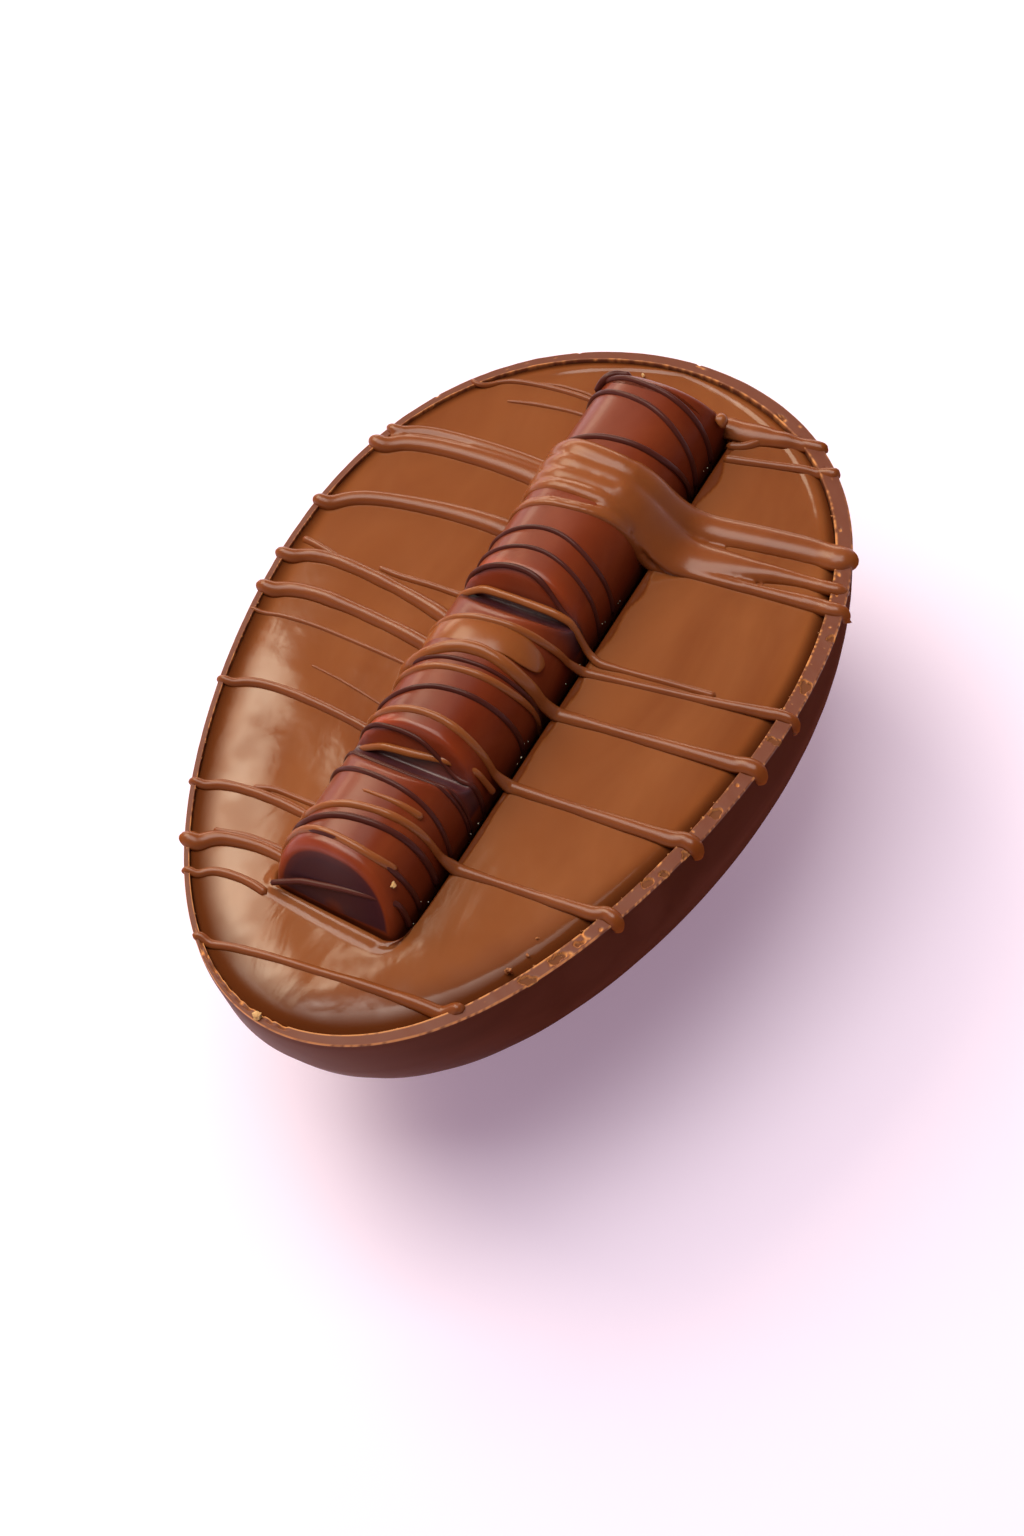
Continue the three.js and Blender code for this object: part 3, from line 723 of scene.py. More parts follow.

# %% [markdown]
# Pressing the bar in pushed up a low lip at the pocket's near end and left a wet strip, a little
# lower, along its right side. A painted shade darkens the filling where it rolls down and on the
# pocket's wall, and its gloss fades towards the wall. In a streak along the left the gloss is
# clouded, so the band of light there looks smeared and not like glass.

# %% The filling's rows
POCKET_ROWS = [(0, -6.3), (0, -4), (0, -2.4), (0, -1.6), (0.04, -1.2), (0.16, -0.88), (0.36, -0.74)]
NEAR_POCKET = [0.6, 0.85, 1.1, 1.4, 1.7, 2.0, 2.3, 2.6, 2.9, 3.3, 3.8, 4.5]
NEAR_WALL = [7, 5.8, 5.0, 4.5, 4.1, 3.8, 3.5, 3.2, 2.9, 2.6, 2.3, 2.0, 1.7, 1.4, 1.1, 0.8, 0.5, 0.3, 0.1, 0]
MIDDLE_ROWS = 12
LIP_HIGH, LIP_PLACE, LIP_SPREAD, LIP_END = 0.75, 1.1, 1.3, (0.5, 6)
WET_STEP, WET_SIDE, WET_WIDTH, WET_SCALLOPS = 0.16, (4, 9), 1.6, 1.3
WAVES, CALM = 0.05, 4
# POCKET_SHADE is painted shade on the pocket's wall.
POCKET_SHADE = 0.95
GLOSS, GLOSS_CLOUDS = 0.6, 0.08
STREAK_PLACE, STREAK_SPREAD, STREAK_FROM, STREAK_TO = 6.5, 3.5, (70, 110), (195, 230)


def filling_plans(width):
    """For each row how far out it is, 0 at the pocket and 1 at the wall, and its height on the
    pocket's wall. From there on the height is None, because the pool gives it."""
    first, last = NEAR_POCKET[-1] / width, 1 - NEAR_WALL[0] / width
    plans = [(distance / width, z) for distance, z in POCKET_ROWS]
    plans += [(distance / width, None) for distance in NEAR_POCKET]
    plans += [(first + (last - first) * k / (MIDDLE_ROWS + 1), None) for k in range(1, MIDDLE_ROWS + 1)]
    return plans + [(1 - distance / width, None) for distance in NEAR_WALL]


def filling_rows():
    """Rows from the pocket's floor up its wall, over the pool and down the cavity, and for each how
    wet, shaded and glossy it is."""
    rows, marks = [], {"wet": [], "shade": [], "level": []}
    out = pool_edge - pocket_edge
    width = np.linalg.norm(out, axis=1)[:, None]
    near_end = 1 - smoothstep(pocket_edge[:, 0] - BAR_CENTRE[0], *(BAR_NEAR + end for end in LIP_END))
    right = smoothstep(-pocket_edge[:, 1], *WET_SIDE)
    scallops = WET_WIDTH + WET_SCALLOPS * ripples(TURNS, 21, waves=70, power=0.35)
    under = np.arctan2(pool_edge[:, 1], pool_edge[:, 0] - MIDDLE_X)
    turn = np.degrees(under)
    shade_width, shine_width = (np.interp(turn, EDGE_TURNS, values) for values in (EDGE_SHADE, EDGE_SHINE))
    left = smoothstep(turn % 360, *STREAK_FROM) * (1 - smoothstep(turn % 360, *STREAK_TO))
    for share, height in filling_plans(width):
        plan = pocket_edge + out * share
        x, y = plan.T
        distance, from_wall = (share * width)[:, 0], ((1 - share) * width)[:, 0]
        lip = LIP_HIGH * bell(distance, LIP_PLACE, LIP_SPREAD) * near_end
        lip *= smoothstep(distance, -0.8, 0.9)
        if height is None:
            z = pool_height(x, y) + WAVES * waves(x, y) * smoothstep(distance, 0, CALM) + lip
        else:
            z = height + lip * (height > -1.5)
        wet = right * (1 - smoothstep(distance - scallops, -0.15, 0.15))
        rolled = 1 - smoothstep(from_wall, 0, shade_width)
        cloudy = waves(x, y, seed=12, count=16, longest=16, shortest=2.5)
        streak = left * bell(from_wall, STREAK_PLACE, STREAK_SPREAD) * np.clip(0.3 + 0.7 * cloudy, 0, 0.4)
        gloss = GLOSS + streak + GLOSS_CLOUDS * cloudy
        add_row(
            rows, marks, np.column_stack([x, y, z - WET_STEP * wet * (share > 0)[:, 0]]),
            wet=wet,
            shade=np.maximum(rolled, POCKET_SHADE if height is not None and height < -0.8 else 0),
            level=gloss * smoothstep(from_wall, 0.15 * shade_width, shine_width),
        )
    for dip in np.linspace(0.08, np.pi / 2, INSIDE_ROWS):
        add_row(rows, marks, row_at(under, dip, WALL + GAP, WALL_BELOW + GAP, CAVITY_SHIFT))
    for values in (rows, *marks.values()):
        values.insert(0, 0 * values[0])
    rows[0] += rows[1].mean(0)
    return rows, marks


poured = chocolate(
    "poured_chocolate", (0.195, 0.053, 0.0135), (0.262, 0.083, 0.0245), 0.12, ripple=0.18, flow=0.07,
    tints={"wet": (0.150, 0.034, 0.008), "shade": (0.090, 0.022, 0.006)}, shine=0.66, matt_but="level",
)
filling = piece_from("filling_pool", *filling_rows(), poured)

# %% [markdown]
# ## The bar
#
# The wafer bar is an arch over a flat base, in four humps with a dip between them. A machine coated
# it, so its skin is smooth and its edges are soft. It is laid out as rings of points along it. Each
# ring is an arch with the power of a squarish ellipse, cut lower where there is a dip.

# %% The bar's arch
BAR_CREST, BAR_WAIST, BAR_FOOT = 12, -1, -6
ARCH_POWER, BASE_POWER = 2.35, 5
END_SLOPE = {"near": 0.28, "far": -0.42}
END_SKEW = {"near": 0.06, "far": -0.02}
END_FELT = (2.2, 6.6)
DIPS = [(-31.6, 5), (3.6, 5), (30, 9.5)]
DIP_RISE, DIP_FALL, DIP_EDGE = 3.2, 7.5, 0.8


def squared(value, power):
    """A cosine or a sine, pushed out towards a square."""
    return np.sign(value) * np.abs(value) ** (2 / power)


def crest_at(u):
    """Height of the bar's crest: it falls slowly into each dip and rises steeply out of it."""
    crest = BAR_CREST + 0 * u
    for place, bottom in DIPS:
        felt = 1 - smoothstep(np.abs(u - place) / np.where(u < place, DIP_FALL, DIP_RISE))
        crest = np.minimum(crest, BAR_CREST + (bottom - BAR_CREST) * felt)
    return crest


def arch_skin(u, angle, crest=crest_at):
    """Points of the arch, u along it and an angle round it from its +Y side over the crest."""
    u, angle = np.broadcast_arrays(np.asarray(u, float), angle)
    over = np.sin(angle) >= 0
    power = np.where(over, ARCH_POWER, BASE_POWER)
    tall = np.where(over, BAR_CREST - BAR_WAIST, BAR_WAIST - BAR_FOOT)
    arch = BAR_WAIST + tall * squared(np.sin(angle), power)
    top = crest(u)
    mix = np.clip(0.5 + (top - arch) / (2 * DIP_EDGE), 0, 1)
    cut = top + (arch - top) * mix - DIP_EDGE * mix * (1 - mix)
    z = np.where(top < BAR_CREST - 1e-6, cut, arch)
    return np.stack([u, BAR_HALF_WIDTH * squared(np.cos(angle), power), z], -1)


def leaned(points):
    """Both ends lean in towards the crest and are cut a little askew."""
    u, y, z = np.moveaxis(points, -1, 0)
    felt = 1 - smoothstep(np.minimum(u - BAR_NEAR, BAR_FAR - u), *END_FELT)
    slope, skew = (np.where(u < 0, end["near"], end["far"]) for end in (END_SLOPE, END_SKEW))
    return np.stack([u + (slope * np.maximum(0, z) + skew * (y + BAR_HALF_WIDTH)) * felt, y, z], -1)


print("crest over the dips, mm:", [float(crest_at(np.array(place))) for place, _ in DIPS])

# %% [markdown]
# A red glow is painted into the coating on the edges of the near facet and where the humps rise,
# more on the left, as if light came through a thin coating there. The facet itself and the dips get
# a painted plum-dark shade. The crest and the dips are glossy, and the right flank is dull. These
# are marks again: glow, plum shade and gloss.

# %% The bar's rings
BAR_ANGLES = np.linspace(0, 2 * np.pi, 128, endpoint=False)
FACET_SHARES = (0, 0.2, 0.4, 0.6, 0.75, 0.85)
END_FILLET = 1.2
FILLET_RINGS = 9
RING_STEP = 0.5
DEEP_DIPS = [place for place, bottom in DIPS if bottom < 6]
FLANK = (-6, 9)
EDGE_GLOW, EDGE_GLOW_REACH = 0.6, 1.1
HUMP_GLOW, HUMP_GLOW_PLACE, HUMP_GLOW_SPREAD = 0.7, 0.8, 1.5
DIP_SHADOW_PLACE, DIP_SHADOW_SPREAD = -0.9, 2.4
DIP_GLOSS_PLACE, DIP_GLOSS_SPREAD = -0.4, 2.2
BAR_GLOSS, FLANK_DULL, CREST_GLOSS, CREST_SPREAD = 0.6, 0.55, 0.5, 4


def ring_plans():
    """For each ring its place along the bar and its share of the full ring: from the middle of the
    near end, over the skin, to the middle of the far end."""
    plans = [(BAR_NEAR, share) for share in FACET_SHARES]
    for turn in np.linspace(0, np.pi / 2, FILLET_RINGS):
        round_off = END_FILLET * (1 - math.sin(turn)) / BAR_HALF_WIDTH
        plans.append((BAR_NEAR + END_FILLET * (1 - math.cos(turn)), 1 - round_off))
    far_end = [(BAR_NEAR + BAR_FAR - u, share) for u, share in reversed(plans)]
    straight = np.arange(BAR_NEAR + END_FILLET + RING_STEP, BAR_FAR - END_FILLET - RING_STEP / 2, RING_STEP)
    return plans + [(u, 1) for u in straight] + far_end


def bar_rows():
    """Rings of the bar, and for each how much painted glow it gets, how much painted plum shade
    it gets and how it shines.
    """
    rows, marks = [], {"glow": [], "plum": [], "gloss": []}
    for number, (u, share) in enumerate(ring_plans()):
        row = arch_skin(u, BAR_ANGLES)
        row[:, 1:] *= share
        right = smoothstep(-row[:, 1], *FLANK)
        facet = number < len(FACET_SHARES)
        if facet:
            through = EDGE_GLOW * smoothstep(share, 0.8, 1.0) * (1 - 0.65 * right)
        else:
            through = EDGE_GLOW * np.exp(-((u - BAR_NEAR) / EDGE_GLOW_REACH)) * (1 - 0.6 * right)
        # Painted plum shade on the near facet and in the dips.
        shadow = float(facet)
        shine = BAR_GLOSS - FLANK_DULL * right + CREST_GLOSS * bell(row[:, 1], -1, CREST_SPREAD)
        # More painted glow on the humps' left side, where the light falls.
        left = 0.25 + HUMP_GLOW * smoothstep(row[:, 1], 0, 8)
        for place in DEEP_DIPS:
            through = through + bell(u, place + HUMP_GLOW_PLACE * DIP_RISE, HUMP_GLOW_SPREAD) * left
            shadow = shadow + bell(u, place + DIP_SHADOW_PLACE, DIP_SHADOW_SPREAD)
            shine = shine + CREST_GLOSS * bell(u, place + DIP_GLOSS_PLACE, DIP_GLOSS_SPREAD)
        add_row(
            rows, marks, from_bar(leaned(row)),
            glow=np.clip(through, 0, 1) * smoothstep(row[:, 2], 0, 6),
            plum=np.clip(shadow - 1.2 * through, 0, 1) * (row[:, 2] > 0),
            gloss=np.clip(shine, 0, 1),
        )
    return rows, marks


# The dark plum tint is a painted shade, and the red tint a painted glow.
bar_coating = chocolate(
    "bar_coating", (0.145, 0.020, 0.006), (0.220, 0.042, 0.013), 0.3, ripple=0.14, streaks=60, shine=0.6,
    tints={"plum": (0.058, 0.017, 0.022), "glow": (0.36, 0.050, 0.010)}, matt_but="gloss",
)
bar = piece_from("bar_coated", *bar_rows(), bar_coating)

# %% [markdown]
# ## Thrown strands
#
# A strand of chocolate is a line with a width, so it could be a curve with a bevel. But a bevel is
# round all over, and a strand that has set on something is flat underneath, about half as high as
# it is wide, and spreads out where it wets the surface. So a small tree of Geometry Nodes sweeps a
# ring along each line and then shapes it: it keeps the ring's part across the line, squashes its
# part along the surface's own direction, and lets its foot flare. The lines carry the direction
# out of the surface, half the width and the height at every point.

# %% Functions for Geometry Nodes
def maths(tree, operation, *values):
    """A Math node on sockets and numbers."""
    return add(tree, "ShaderNodeMath", dict(enumerate(values)), operation=operation)


def vectors(tree, operation, *values):
    """A Vector Math node on sockets and vectors."""
    return add(tree, "ShaderNodeVectorMath", dict(enumerate(values)), operation=operation)


def scaled(tree, vector, scale):
    """A vector times a number."""
    return add(tree, "ShaderNodeVectorMath", {0: vector, "Scale": scale}, operation="SCALE")


def named(tree, label, kind="FLOAT_VECTOR"):
    """What the points carry under that name."""
    return add(tree, "GeometryNodeInputNamedAttribute", {"Name": label}, data_type=kind)


def new_tree(name, *inputs):
    """A tree with inputs from rows (name, kind, default), and the sockets of those inputs."""
    tree = bpy.data.node_groups.new(name, "GeometryNodeTree")
    for label, kind, default in (("Geometry", "Geometry", None), ("Chocolate", "Material", None), *inputs):
        socket = tree.interface.new_socket(label, in_out="INPUT", socket_type="NodeSocket" + kind)
        if default is not None:
            socket.default_value = default
    tree.interface.new_socket("Geometry", in_out="OUTPUT", socket_type="NodeSocketGeometry")
    return tree, tree.nodes.new("NodeGroupInput").outputs


def finish_tree(tree, given, shape):
    """Ends a tree with real faces in the given chocolate."""
    real = add(tree, "GeometryNodeRealizeInstances", {"Geometry": shape})
    coat = add(tree, "GeometryNodeSetMaterial", {"Geometry": real, "Material": given["Chocolate"]})
    fill(tree, tree.nodes.new("NodeGroupOutput"), {"Geometry": coat})
    print(f"{tree.name}: a tree of {len(tree.nodes)} nodes")


print("trees so far:", len(bpy.data.node_groups))

# %% The sweep
def strand_tree():
    """Sweeps a ring of 1 mm along each line, and gives every point of it its place."""
    tree, given = new_tree(
        "strand", ("Sides", "Int", 14), ("Flare", "Float", 0.22), ("Root", "Float", 0.35 * MM),
        ("Unevenness", "Float", 0.10), ("Lump Scale", "Float", 190.0), ("Seed", "Float", 3.0),
    )
    out, half, rise = named(tree, "out"), named(tree, "half", "FLOAT"), named(tree, "rise", "FLOAT")
    place = add(tree, "GeometryNodeInputPosition")
    curve = add(tree, "GeometryNodeMeshToCurve", {"Mesh": given["Geometry"]})
    centred = {"Geometry": curve, "Name": "centre", "Value": place}
    curve = add(tree, "GeometryNodeStoreNamedAttribute", centred, data_type="FLOAT_VECTOR", domain="POINT")
    curve = add(tree, "GeometryNodeSetCurveNormal", {"Curve": curve, "Normal": out}, mode="FREE")
    ring = add(tree, "GeometryNodeCurvePrimitiveCircle", {"Radius": MM, "Resolution": given["Sides"]})
    swept = {"Curve": curve, "Profile Curve": ring, "Fill Caps": True}
    sweep = add(tree, "GeometryNodeCurveToMesh", swept)

    middle = named(tree, "centre")
    offset = vectors(tree, "SUBTRACT", place, middle)
    up = maths(tree, "DIVIDE", vectors(tree, "DOT_PRODUCT", offset, out), MM)
    across = vectors(tree, "SUBTRACT", offset, scaled(tree, out, maths(tree, "MULTIPLY", up, MM)))
    above, below = maths(tree, "MAXIMUM", up, 0.0), maths(tree, "MINIMUM", up, 0.0)
    foot = maths(tree, "POWER", maths(tree, "SUBTRACT", 1.0, above), 3.0)
    flared = maths(tree, "MULTIPLY_ADD", foot, given["Flare"], 1.0)
    lumpy = {"Vector": middle, "W": given["Seed"], "Scale": given["Lump Scale"], "Detail": 1}
    lumps = add(tree, "ShaderNodeTexNoise", lumpy, noise_dimensions="4D")
    uneven = maths(tree, "MULTIPLY", maths(tree, "SUBTRACT", lumps, 0.5), given["Unevenness"])
    uneven = maths(tree, "MULTIPLY_ADD", uneven, 4.0, 1.0)
    wide = maths(tree, "DIVIDE", maths(tree, "MULTIPLY", half, flared), MM)
    wide = maths(tree, "MULTIPLY", wide, uneven)
    high = maths(tree, "MULTIPLY", maths(tree, "MULTIPLY", above, rise), uneven)
    deep = maths(tree, "MULTIPLY", below, given["Root"])
    final = vectors(tree, "ADD", middle, scaled(tree, across, wide))
    final = vectors(tree, "ADD", final, scaled(tree, out, maths(tree, "ADD", high, deep)))
    shape = add(tree, "GeometryNodeSetPosition", {"Geometry": sweep, "Position": final})
    finish_tree(tree, given, add(tree, "GeometryNodeSetShadeSmooth", {"Geometry": shape}))
    return tree


STRAND_TREE = strand_tree()

# %% [markdown]
# A tree only describes a shape. To make a piece, bare points or lines get the tree as a modifier
# with that piece's inputs, and what comes out is kept as a mesh of its own. The piece no longer
# depends on the tree then, and any program can read it.

# %% From a tree to a piece
def made_real(one):
    """The mesh that an object's modifiers make."""
    bpy.context.view_layer.update()
    return bpy.data.meshes.new_from_object(one.evaluated_get(bpy.context.evaluated_depsgraph_get()))


def grown(name, tree, points, edges, marks, **inputs):
    """What a tree makes of points and edges with these marks and inputs, as an object of its own."""
    mesh = bpy.data.meshes.new(name + "_source")
    mesh.from_pydata(to_scene(points).tolist(), edges, [])
    for label, values in marks.items():
        keep_values(mesh, label, values)
    source = linked(name + "_source", mesh)
    modifier = source.modifiers.new("grow", "NODES")
    modifier.node_group = tree
    for label, value in inputs.items():
        modifier[tree.interface.items_tree[label].identifier] = value
    result = made_real(source)
    result.name = name
    bpy.data.objects.remove(source)
    print(f"{name}: {len(result.polygons)} faces")
    return linked(name, result)


def strands(name, lines, material, **inputs):
    """One piece of all the lines, swept by the strand tree with these inputs."""
    places, out, half, rise = (np.concatenate(parts) for parts in zip(*lines))
    firsts = np.r_[0, np.cumsum([len(line_places) for line_places, *_ in lines])]
    edges = [(k, k + 1) for a, b in zip(firsts, firsts[1:]) for k in range(a, b - 1)]
    marks = {"out": out, "half": half * MM, "rise": rise * MM}
    return grown(name, STRAND_TREE, places, edges, marks, Chocolate=material, **inputs)


print("the strand tree asks for:", [one.name for one in STRAND_TREE.interface.items_tree[1:]])

# %% [markdown]
# ## Where the strands lie
#
# Each strand is a row of stations [x, y, z, width], from leg to leg: over the rim, across the pool,
# over the bar. The legs follow the same formulas as the surfaces that they lie on. They are joined,
# set out in even steps and rounded off, so a strand bridges the pocket and bends over the rim's
# edge as poured chocolate does, and is never kinked.

# %% Legs
UP = np.array([0, 0, 1.0])
RIM_OVERHANG = 0.3
BAR_START, BAR_END = -20, 200
BAR_PLACES = (45, 90, 135, 180)
BAR_STATIONS, BAR_EASING = 70, 12


def bar_side(x, side):
    """The y of the bar's side at x."""
    return BAR_CENTRE[1] + (x - BAR_CENTRE[0]) * math.tan(BAR_TURN) + side * BAR_HALF_WIDTH


def over_rim(x, side, width, drip, swell=1.0):
    """A leg from the rim's inner edge over the outer edge, and down the wall by drip."""
    slope = flare(x)
    out = np.array([-slope, side, 0]) / math.hypot(slope, 1)
    edge = np.array([x, side * half_width(x), 0])
    wall = abs(edge[1] - cavity_edge(x, side)) * abs(out[1])
    shape = [
        (-wall, 0, 1 + 0.1 * swell), (-wall / 2, 0.1, 1 + 0.25 * swell), (-0.1, 0.02, 1 + 0.15 * swell),
        (RIM_OVERHANG / 2, -0.5, 0.9), (RIM_OVERHANG / 2, -0.9 - drip / 2, 0.6), (0, -0.9 - drip, 0.5),
    ]
    return np.array([[*(edge + out * along + UP * up), width * share] for along, up, share in shape])


def over_pool(plan, stations=24):
    """A leg on the filling through plan points (x, y, width)."""
    plan = np.array(plan, float)
    share = np.linspace(0, len(plan) - 1, stations)
    x, y, width = (np.interp(share, np.arange(len(plan)), plan[:, k]) for k in range(3))
    return np.column_stack([x, y, pool_height(x, y), width])


def over_bar(bar, width, start=BAR_START, end=BAR_END):
    """A leg on the bar between two angles, from its x at four angles round the arch."""
    turn = np.linspace(start, end, BAR_STATIONS)
    before = bar[0] - 0.3 * (bar[1] - bar[0])
    x = eased(np.interp(turn, (BAR_START, *BAR_PLACES), (before, *bar)), BAR_EASING)
    place = from_bar(leaned(arch_skin(x - BAR_CENTRE[0], np.radians(turn))))
    return np.column_stack([place, np.interp(turn, (start, end), np.broadcast_to(width, 2))])


def eased(path, rounds):
    """Rows with their bends evened out, each by its neighbours. The ends stay."""
    for _ in range(rounds):
        path[1:-1] = (path[:-2] + 2 * path[1:-1] + path[2:]) / 4
    return path


print("a leg over the bar, stations:", len(over_bar((0, 0, 0, 0), 1)))

# %% [markdown]
# A line also needs to know which way is out of the surface. That is worked out from the way it
# runs: across is square to its heading and to the sky, and out is square to both. A line that goes
# straight up has no heading, so each gets a very small one. The width and the height shrink in a
# quarter circle at both ends, which rounds them off.

# %% Lines
STEP = 0.4
RISE_SHARE = 0.56
HEADING_EASING = 20
LEAST_HEADING = np.array([0, -0.02, 0])
LEAST_TAPER = 0.02


def line(*legs, rounding=8, rise=RISE_SHARE, highest=1.4, up=UP):
    """Joined legs as even stations, each with its place, the way out of the surface, half its width
    and its height. up is the way out of the surface half way along."""
    path = np.vstack(legs)
    length = np.r_[0, np.cumsum(np.linalg.norm(np.diff(path[:, :3], axis=0), axis=1))]
    places = np.linspace(0, length[-1], max(6, int(length[-1] / STEP)))
    path = eased(np.column_stack([np.interp(places, length, path[:, k]) for k in range(4)]), rounding)
    ahead = np.gradient(path[:, :3], axis=0)
    ahead /= np.linalg.norm(ahead, axis=1)[:, None]
    heading = eased(ahead * [1, 1, 0] + LEAST_HEADING, HEADING_EASING)
    across = np.cross(up, heading)
    across -= ahead * np.sum(across * ahead, axis=1)[:, None]
    across /= np.linalg.norm(across, axis=1)[:, None]
    half = path[:, 3] / 2
    from_end = np.minimum(places, places[-1] - places) / half
    taper = np.sqrt(1 - (1 - np.clip(from_end, LEAST_TAPER, 1)) ** 2)
    return path[:, :3], np.cross(ahead, across), half * taper, np.minimum(rise * path[:, 3], highest) * taper


def laid(bar, width, highest=1.4, rise=RISE_SHARE, **reach):
    """A strand on the bar alone."""
    return line(over_bar(bar, width, **reach), highest=highest, rise=rise)


print("a strand over the bar, stations:", len(laid((0, 0, 0, 0), 1)[0]))

# %% [markdown]
# ### Milk strands
#
# On the left, each strand came in over the thin edge of the shell with a little curl, bowed
# forwards and ran up to the bar. Those on the right are the tails of what went over the bar: they
# start on its flank, bridge the gap, and end in a fat drop on the rim with a short run down the
# wall. A few thin ones lie on the pool or on the bar alone.

# %% Kinds of milk strand
BOW_BUILD = 0.08
LEFT_SWELL = -0.8
ON_THE_RIM, ON_THE_FLANK = 1.2, 0.25
LEG_SHARES = (0, 0.25, 0.6, 0.85, 1)
LANDING, FATTER, CLIMB = 1.9, 1.15, 0.35


def bowed(start, end, bow, widths, stations=30):
    """A leg over the pool from (x, y) to (x, y) that sets out fast and eases back. It has a width,
    or several at even steps along it."""
    share = np.linspace(0, 1, stations)
    width = np.interp(share, np.linspace(0, 1, len(widths)), widths)
    bent = (1 - np.exp(-share / BOW_BUILD)) * (1 - share**3)
    x = start[0] + (end[0] - start[0]) * share + bow * bent
    y = start[1] + (end[1] - start[1]) * share
    return np.column_stack([x, y, pool_height(x, y), width])


def left_line(rim, bar, bow, width, curl=0.1):
    """A strand from the left rim to the bar."""
    start, end = (rim, cavity_edge(rim, 1) - ON_THE_RIM), (bar, bar_side(bar, 1) + ON_THE_FLANK)
    widths = np.atleast_1d(width)
    over = over_rim(rim, 1, widths[0], curl, swell=LEFT_SWELL)[::-1]
    return line(over[1:], bowed(start, end, bow, widths))


def pointed_line(left, right, bow, widths):
    """The strand across the pointed end: it ends as a smear on the right rim."""
    start, end = (left, cavity_edge(left, 1) - 1.0), (right, cavity_edge(right, -1) + 1.0)
    over = over_rim(left, 1, widths[0], 0, swell=LEFT_SWELL)[::-1]
    smear = over_rim(right, -1, widths[-1], 0, swell=-1)[:2]
    return line(over[2:], bowed(start, end, bow, widths), smear)


def thrown_line(bar, width, rim, pool, drip):
    """A strand over the bar, down its right side, across the pool and over the rim. It lands on the
    pool with a foot, thins out and swells again towards the rim."""
    foot, waist, tail = pool
    start, end = bar_side(bar[-1], -1) - LANDING, cavity_edge(rim, -1) + 1.0
    share = np.linspace(0, 1, 9)
    widths = np.interp(share, LEG_SHARES, (foot, waist, FATTER * waist, tail, FATTER * tail))
    plan = np.column_stack([bar[-1] + (rim - bar[-1]) * share, start + (end - start) * share, widths])
    across = over_pool(plan)
    climb = CLIMB * smoothstep(np.linspace(0, 1, len(across)), 0.55, 1)
    across[:, 2] = np.maximum(across[:, 2], FILLING_LEVEL) + climb
    drop = over_rim(rim, -1, FATTER * tail, drip, swell=-0.4)
    return line(over_bar(bar, width, end=168), across, drop, highest=1.2)


def matt_on_the_wall(piece, painted_glow):
    """Marks a piece as glossy on top, and matt like the shell where it hangs over its wall. Where it
    lies high, on top of the bar, it gets a painted glow in its colour."""
    places = np.zeros(3 * len(piece.data.vertices))
    piece.data.vertices.foreach_get("co", places)
    x, y, z = places.reshape(-1, 3).T / MM
    keep_values(piece.data, "gloss", 1 - smoothstep(np.abs(y) - half_width(x), -0.5, 0.4))
    keep_values(piece.data, "painted_glow", painted_glow * smoothstep(z - FACE_HEIGHT, 1, 6))


print("a left strand, stations:", len(left_line(0, 0, 0, 1)[0]))

# %% Milk strands on the left and on the pool
# From the left rim: x at the rim, x at the bar, bow, width or widths, curl.
LEFT_STRANDS = [
    (-54.2, -53.1, 1.9, 1.35),
    (-48.9, -46.3, 2.2, (3.1, 2.2, 1.9, 1.8), 0.4),
    (-38.5, -37.6, 1.7, 1.7),
    (-18.3, -18.7, 2.2, 1.6),
    (-3.1, -4.2, 1.2, 0.75),
    (1.9, 0.6, 2.3, (2.8, 2.4, 2.4, 2.7), 0.3),
    (9.6, 6.9, 2.9, (2.5, 2.3, 2.2, 2.6), 0.3),
    (57.7, 60.6, 2.4, 0.95),
]
# On the pool alone: plan points (x, y, width), first on the left and then on the right.
SIDE_STRANDS = [
    [(-35.8, 27.6, 1.1), (-34.7, 24.2, 1.0), (-34.8, 20.8, 1.0), (-35, 13.2, 1.0)],
    [(-45.3, 29.5, 0.8), (-44.5, 24, 1.0), (-44.6, 18, 1.0), (-44.9, 13.6, 0.9)],
    [(-10, 31, 0.35), (-10.8, 25, 0.45), (-11.9, 20, 0.45), (-12.9, 16.2, 0.35)],
    [(14.2, 46, 1.4), (13.9, 43.5, 1.4), (13, 40, 1.2), (12.2, 37, 0.9)],
    [(13.1, 30.5, 0.9), (12.7, 26.7, 1.1), (12.9, 20.8, 1.1), (12.7, 12.8, 1.1)],
    [(55.6, 27.4, 0.5), (56.7, 22.5, 0.75), (57.3, 16.7, 0.75), (57.3, 11.6, 0.7)],
    [(61.4, 24, 0.5), (62.3, 20, 0.6), (62.2, 15, 0.6), (61.6, 12, 0.5)],
]
RIGHT_STRANDS = [
    [(56.6, -13.9, 1.5), (57.7, -20, 1.3), (58.8, -26, 1.5), (59.4, -31, 2.0), (59.9, -34.2, 2.4)],
    [(63.6, -9.8, 3.8), (63.4, -13, 4.2), (63.6, -17, 4.0), (63.9, -21, 3.4), (64.3, -26, 2.4),
     (64.5, -30, 2.0)],
    [(59.6, -13.2, 1.2), (60.0, -15.5, 1.3), (61.2, -17.2, 1.4), (63.0, -18.8, 1.6)],
    [(65.6, -3, 0.6), (66.0, -5.5, 0.8), (65.8, -8.4, 0.7)],
]
POINTED_STRAND = (-64.6, -61.7, 0.7, (1.5, 1.3, 1.3, 1.7, 2.3))

milk_lines = [left_line(*one) for one in LEFT_STRANDS]
milk_lines += [line(over_pool(plan), highest=0.9) for plan in SIDE_STRANDS]
milk_lines += [line(over_pool(plan), highest=1.5) for plan in RIGHT_STRANDS]
milk_lines.append(pointed_line(*POINTED_STRAND))
print("milk strands so far:", len(milk_lines))

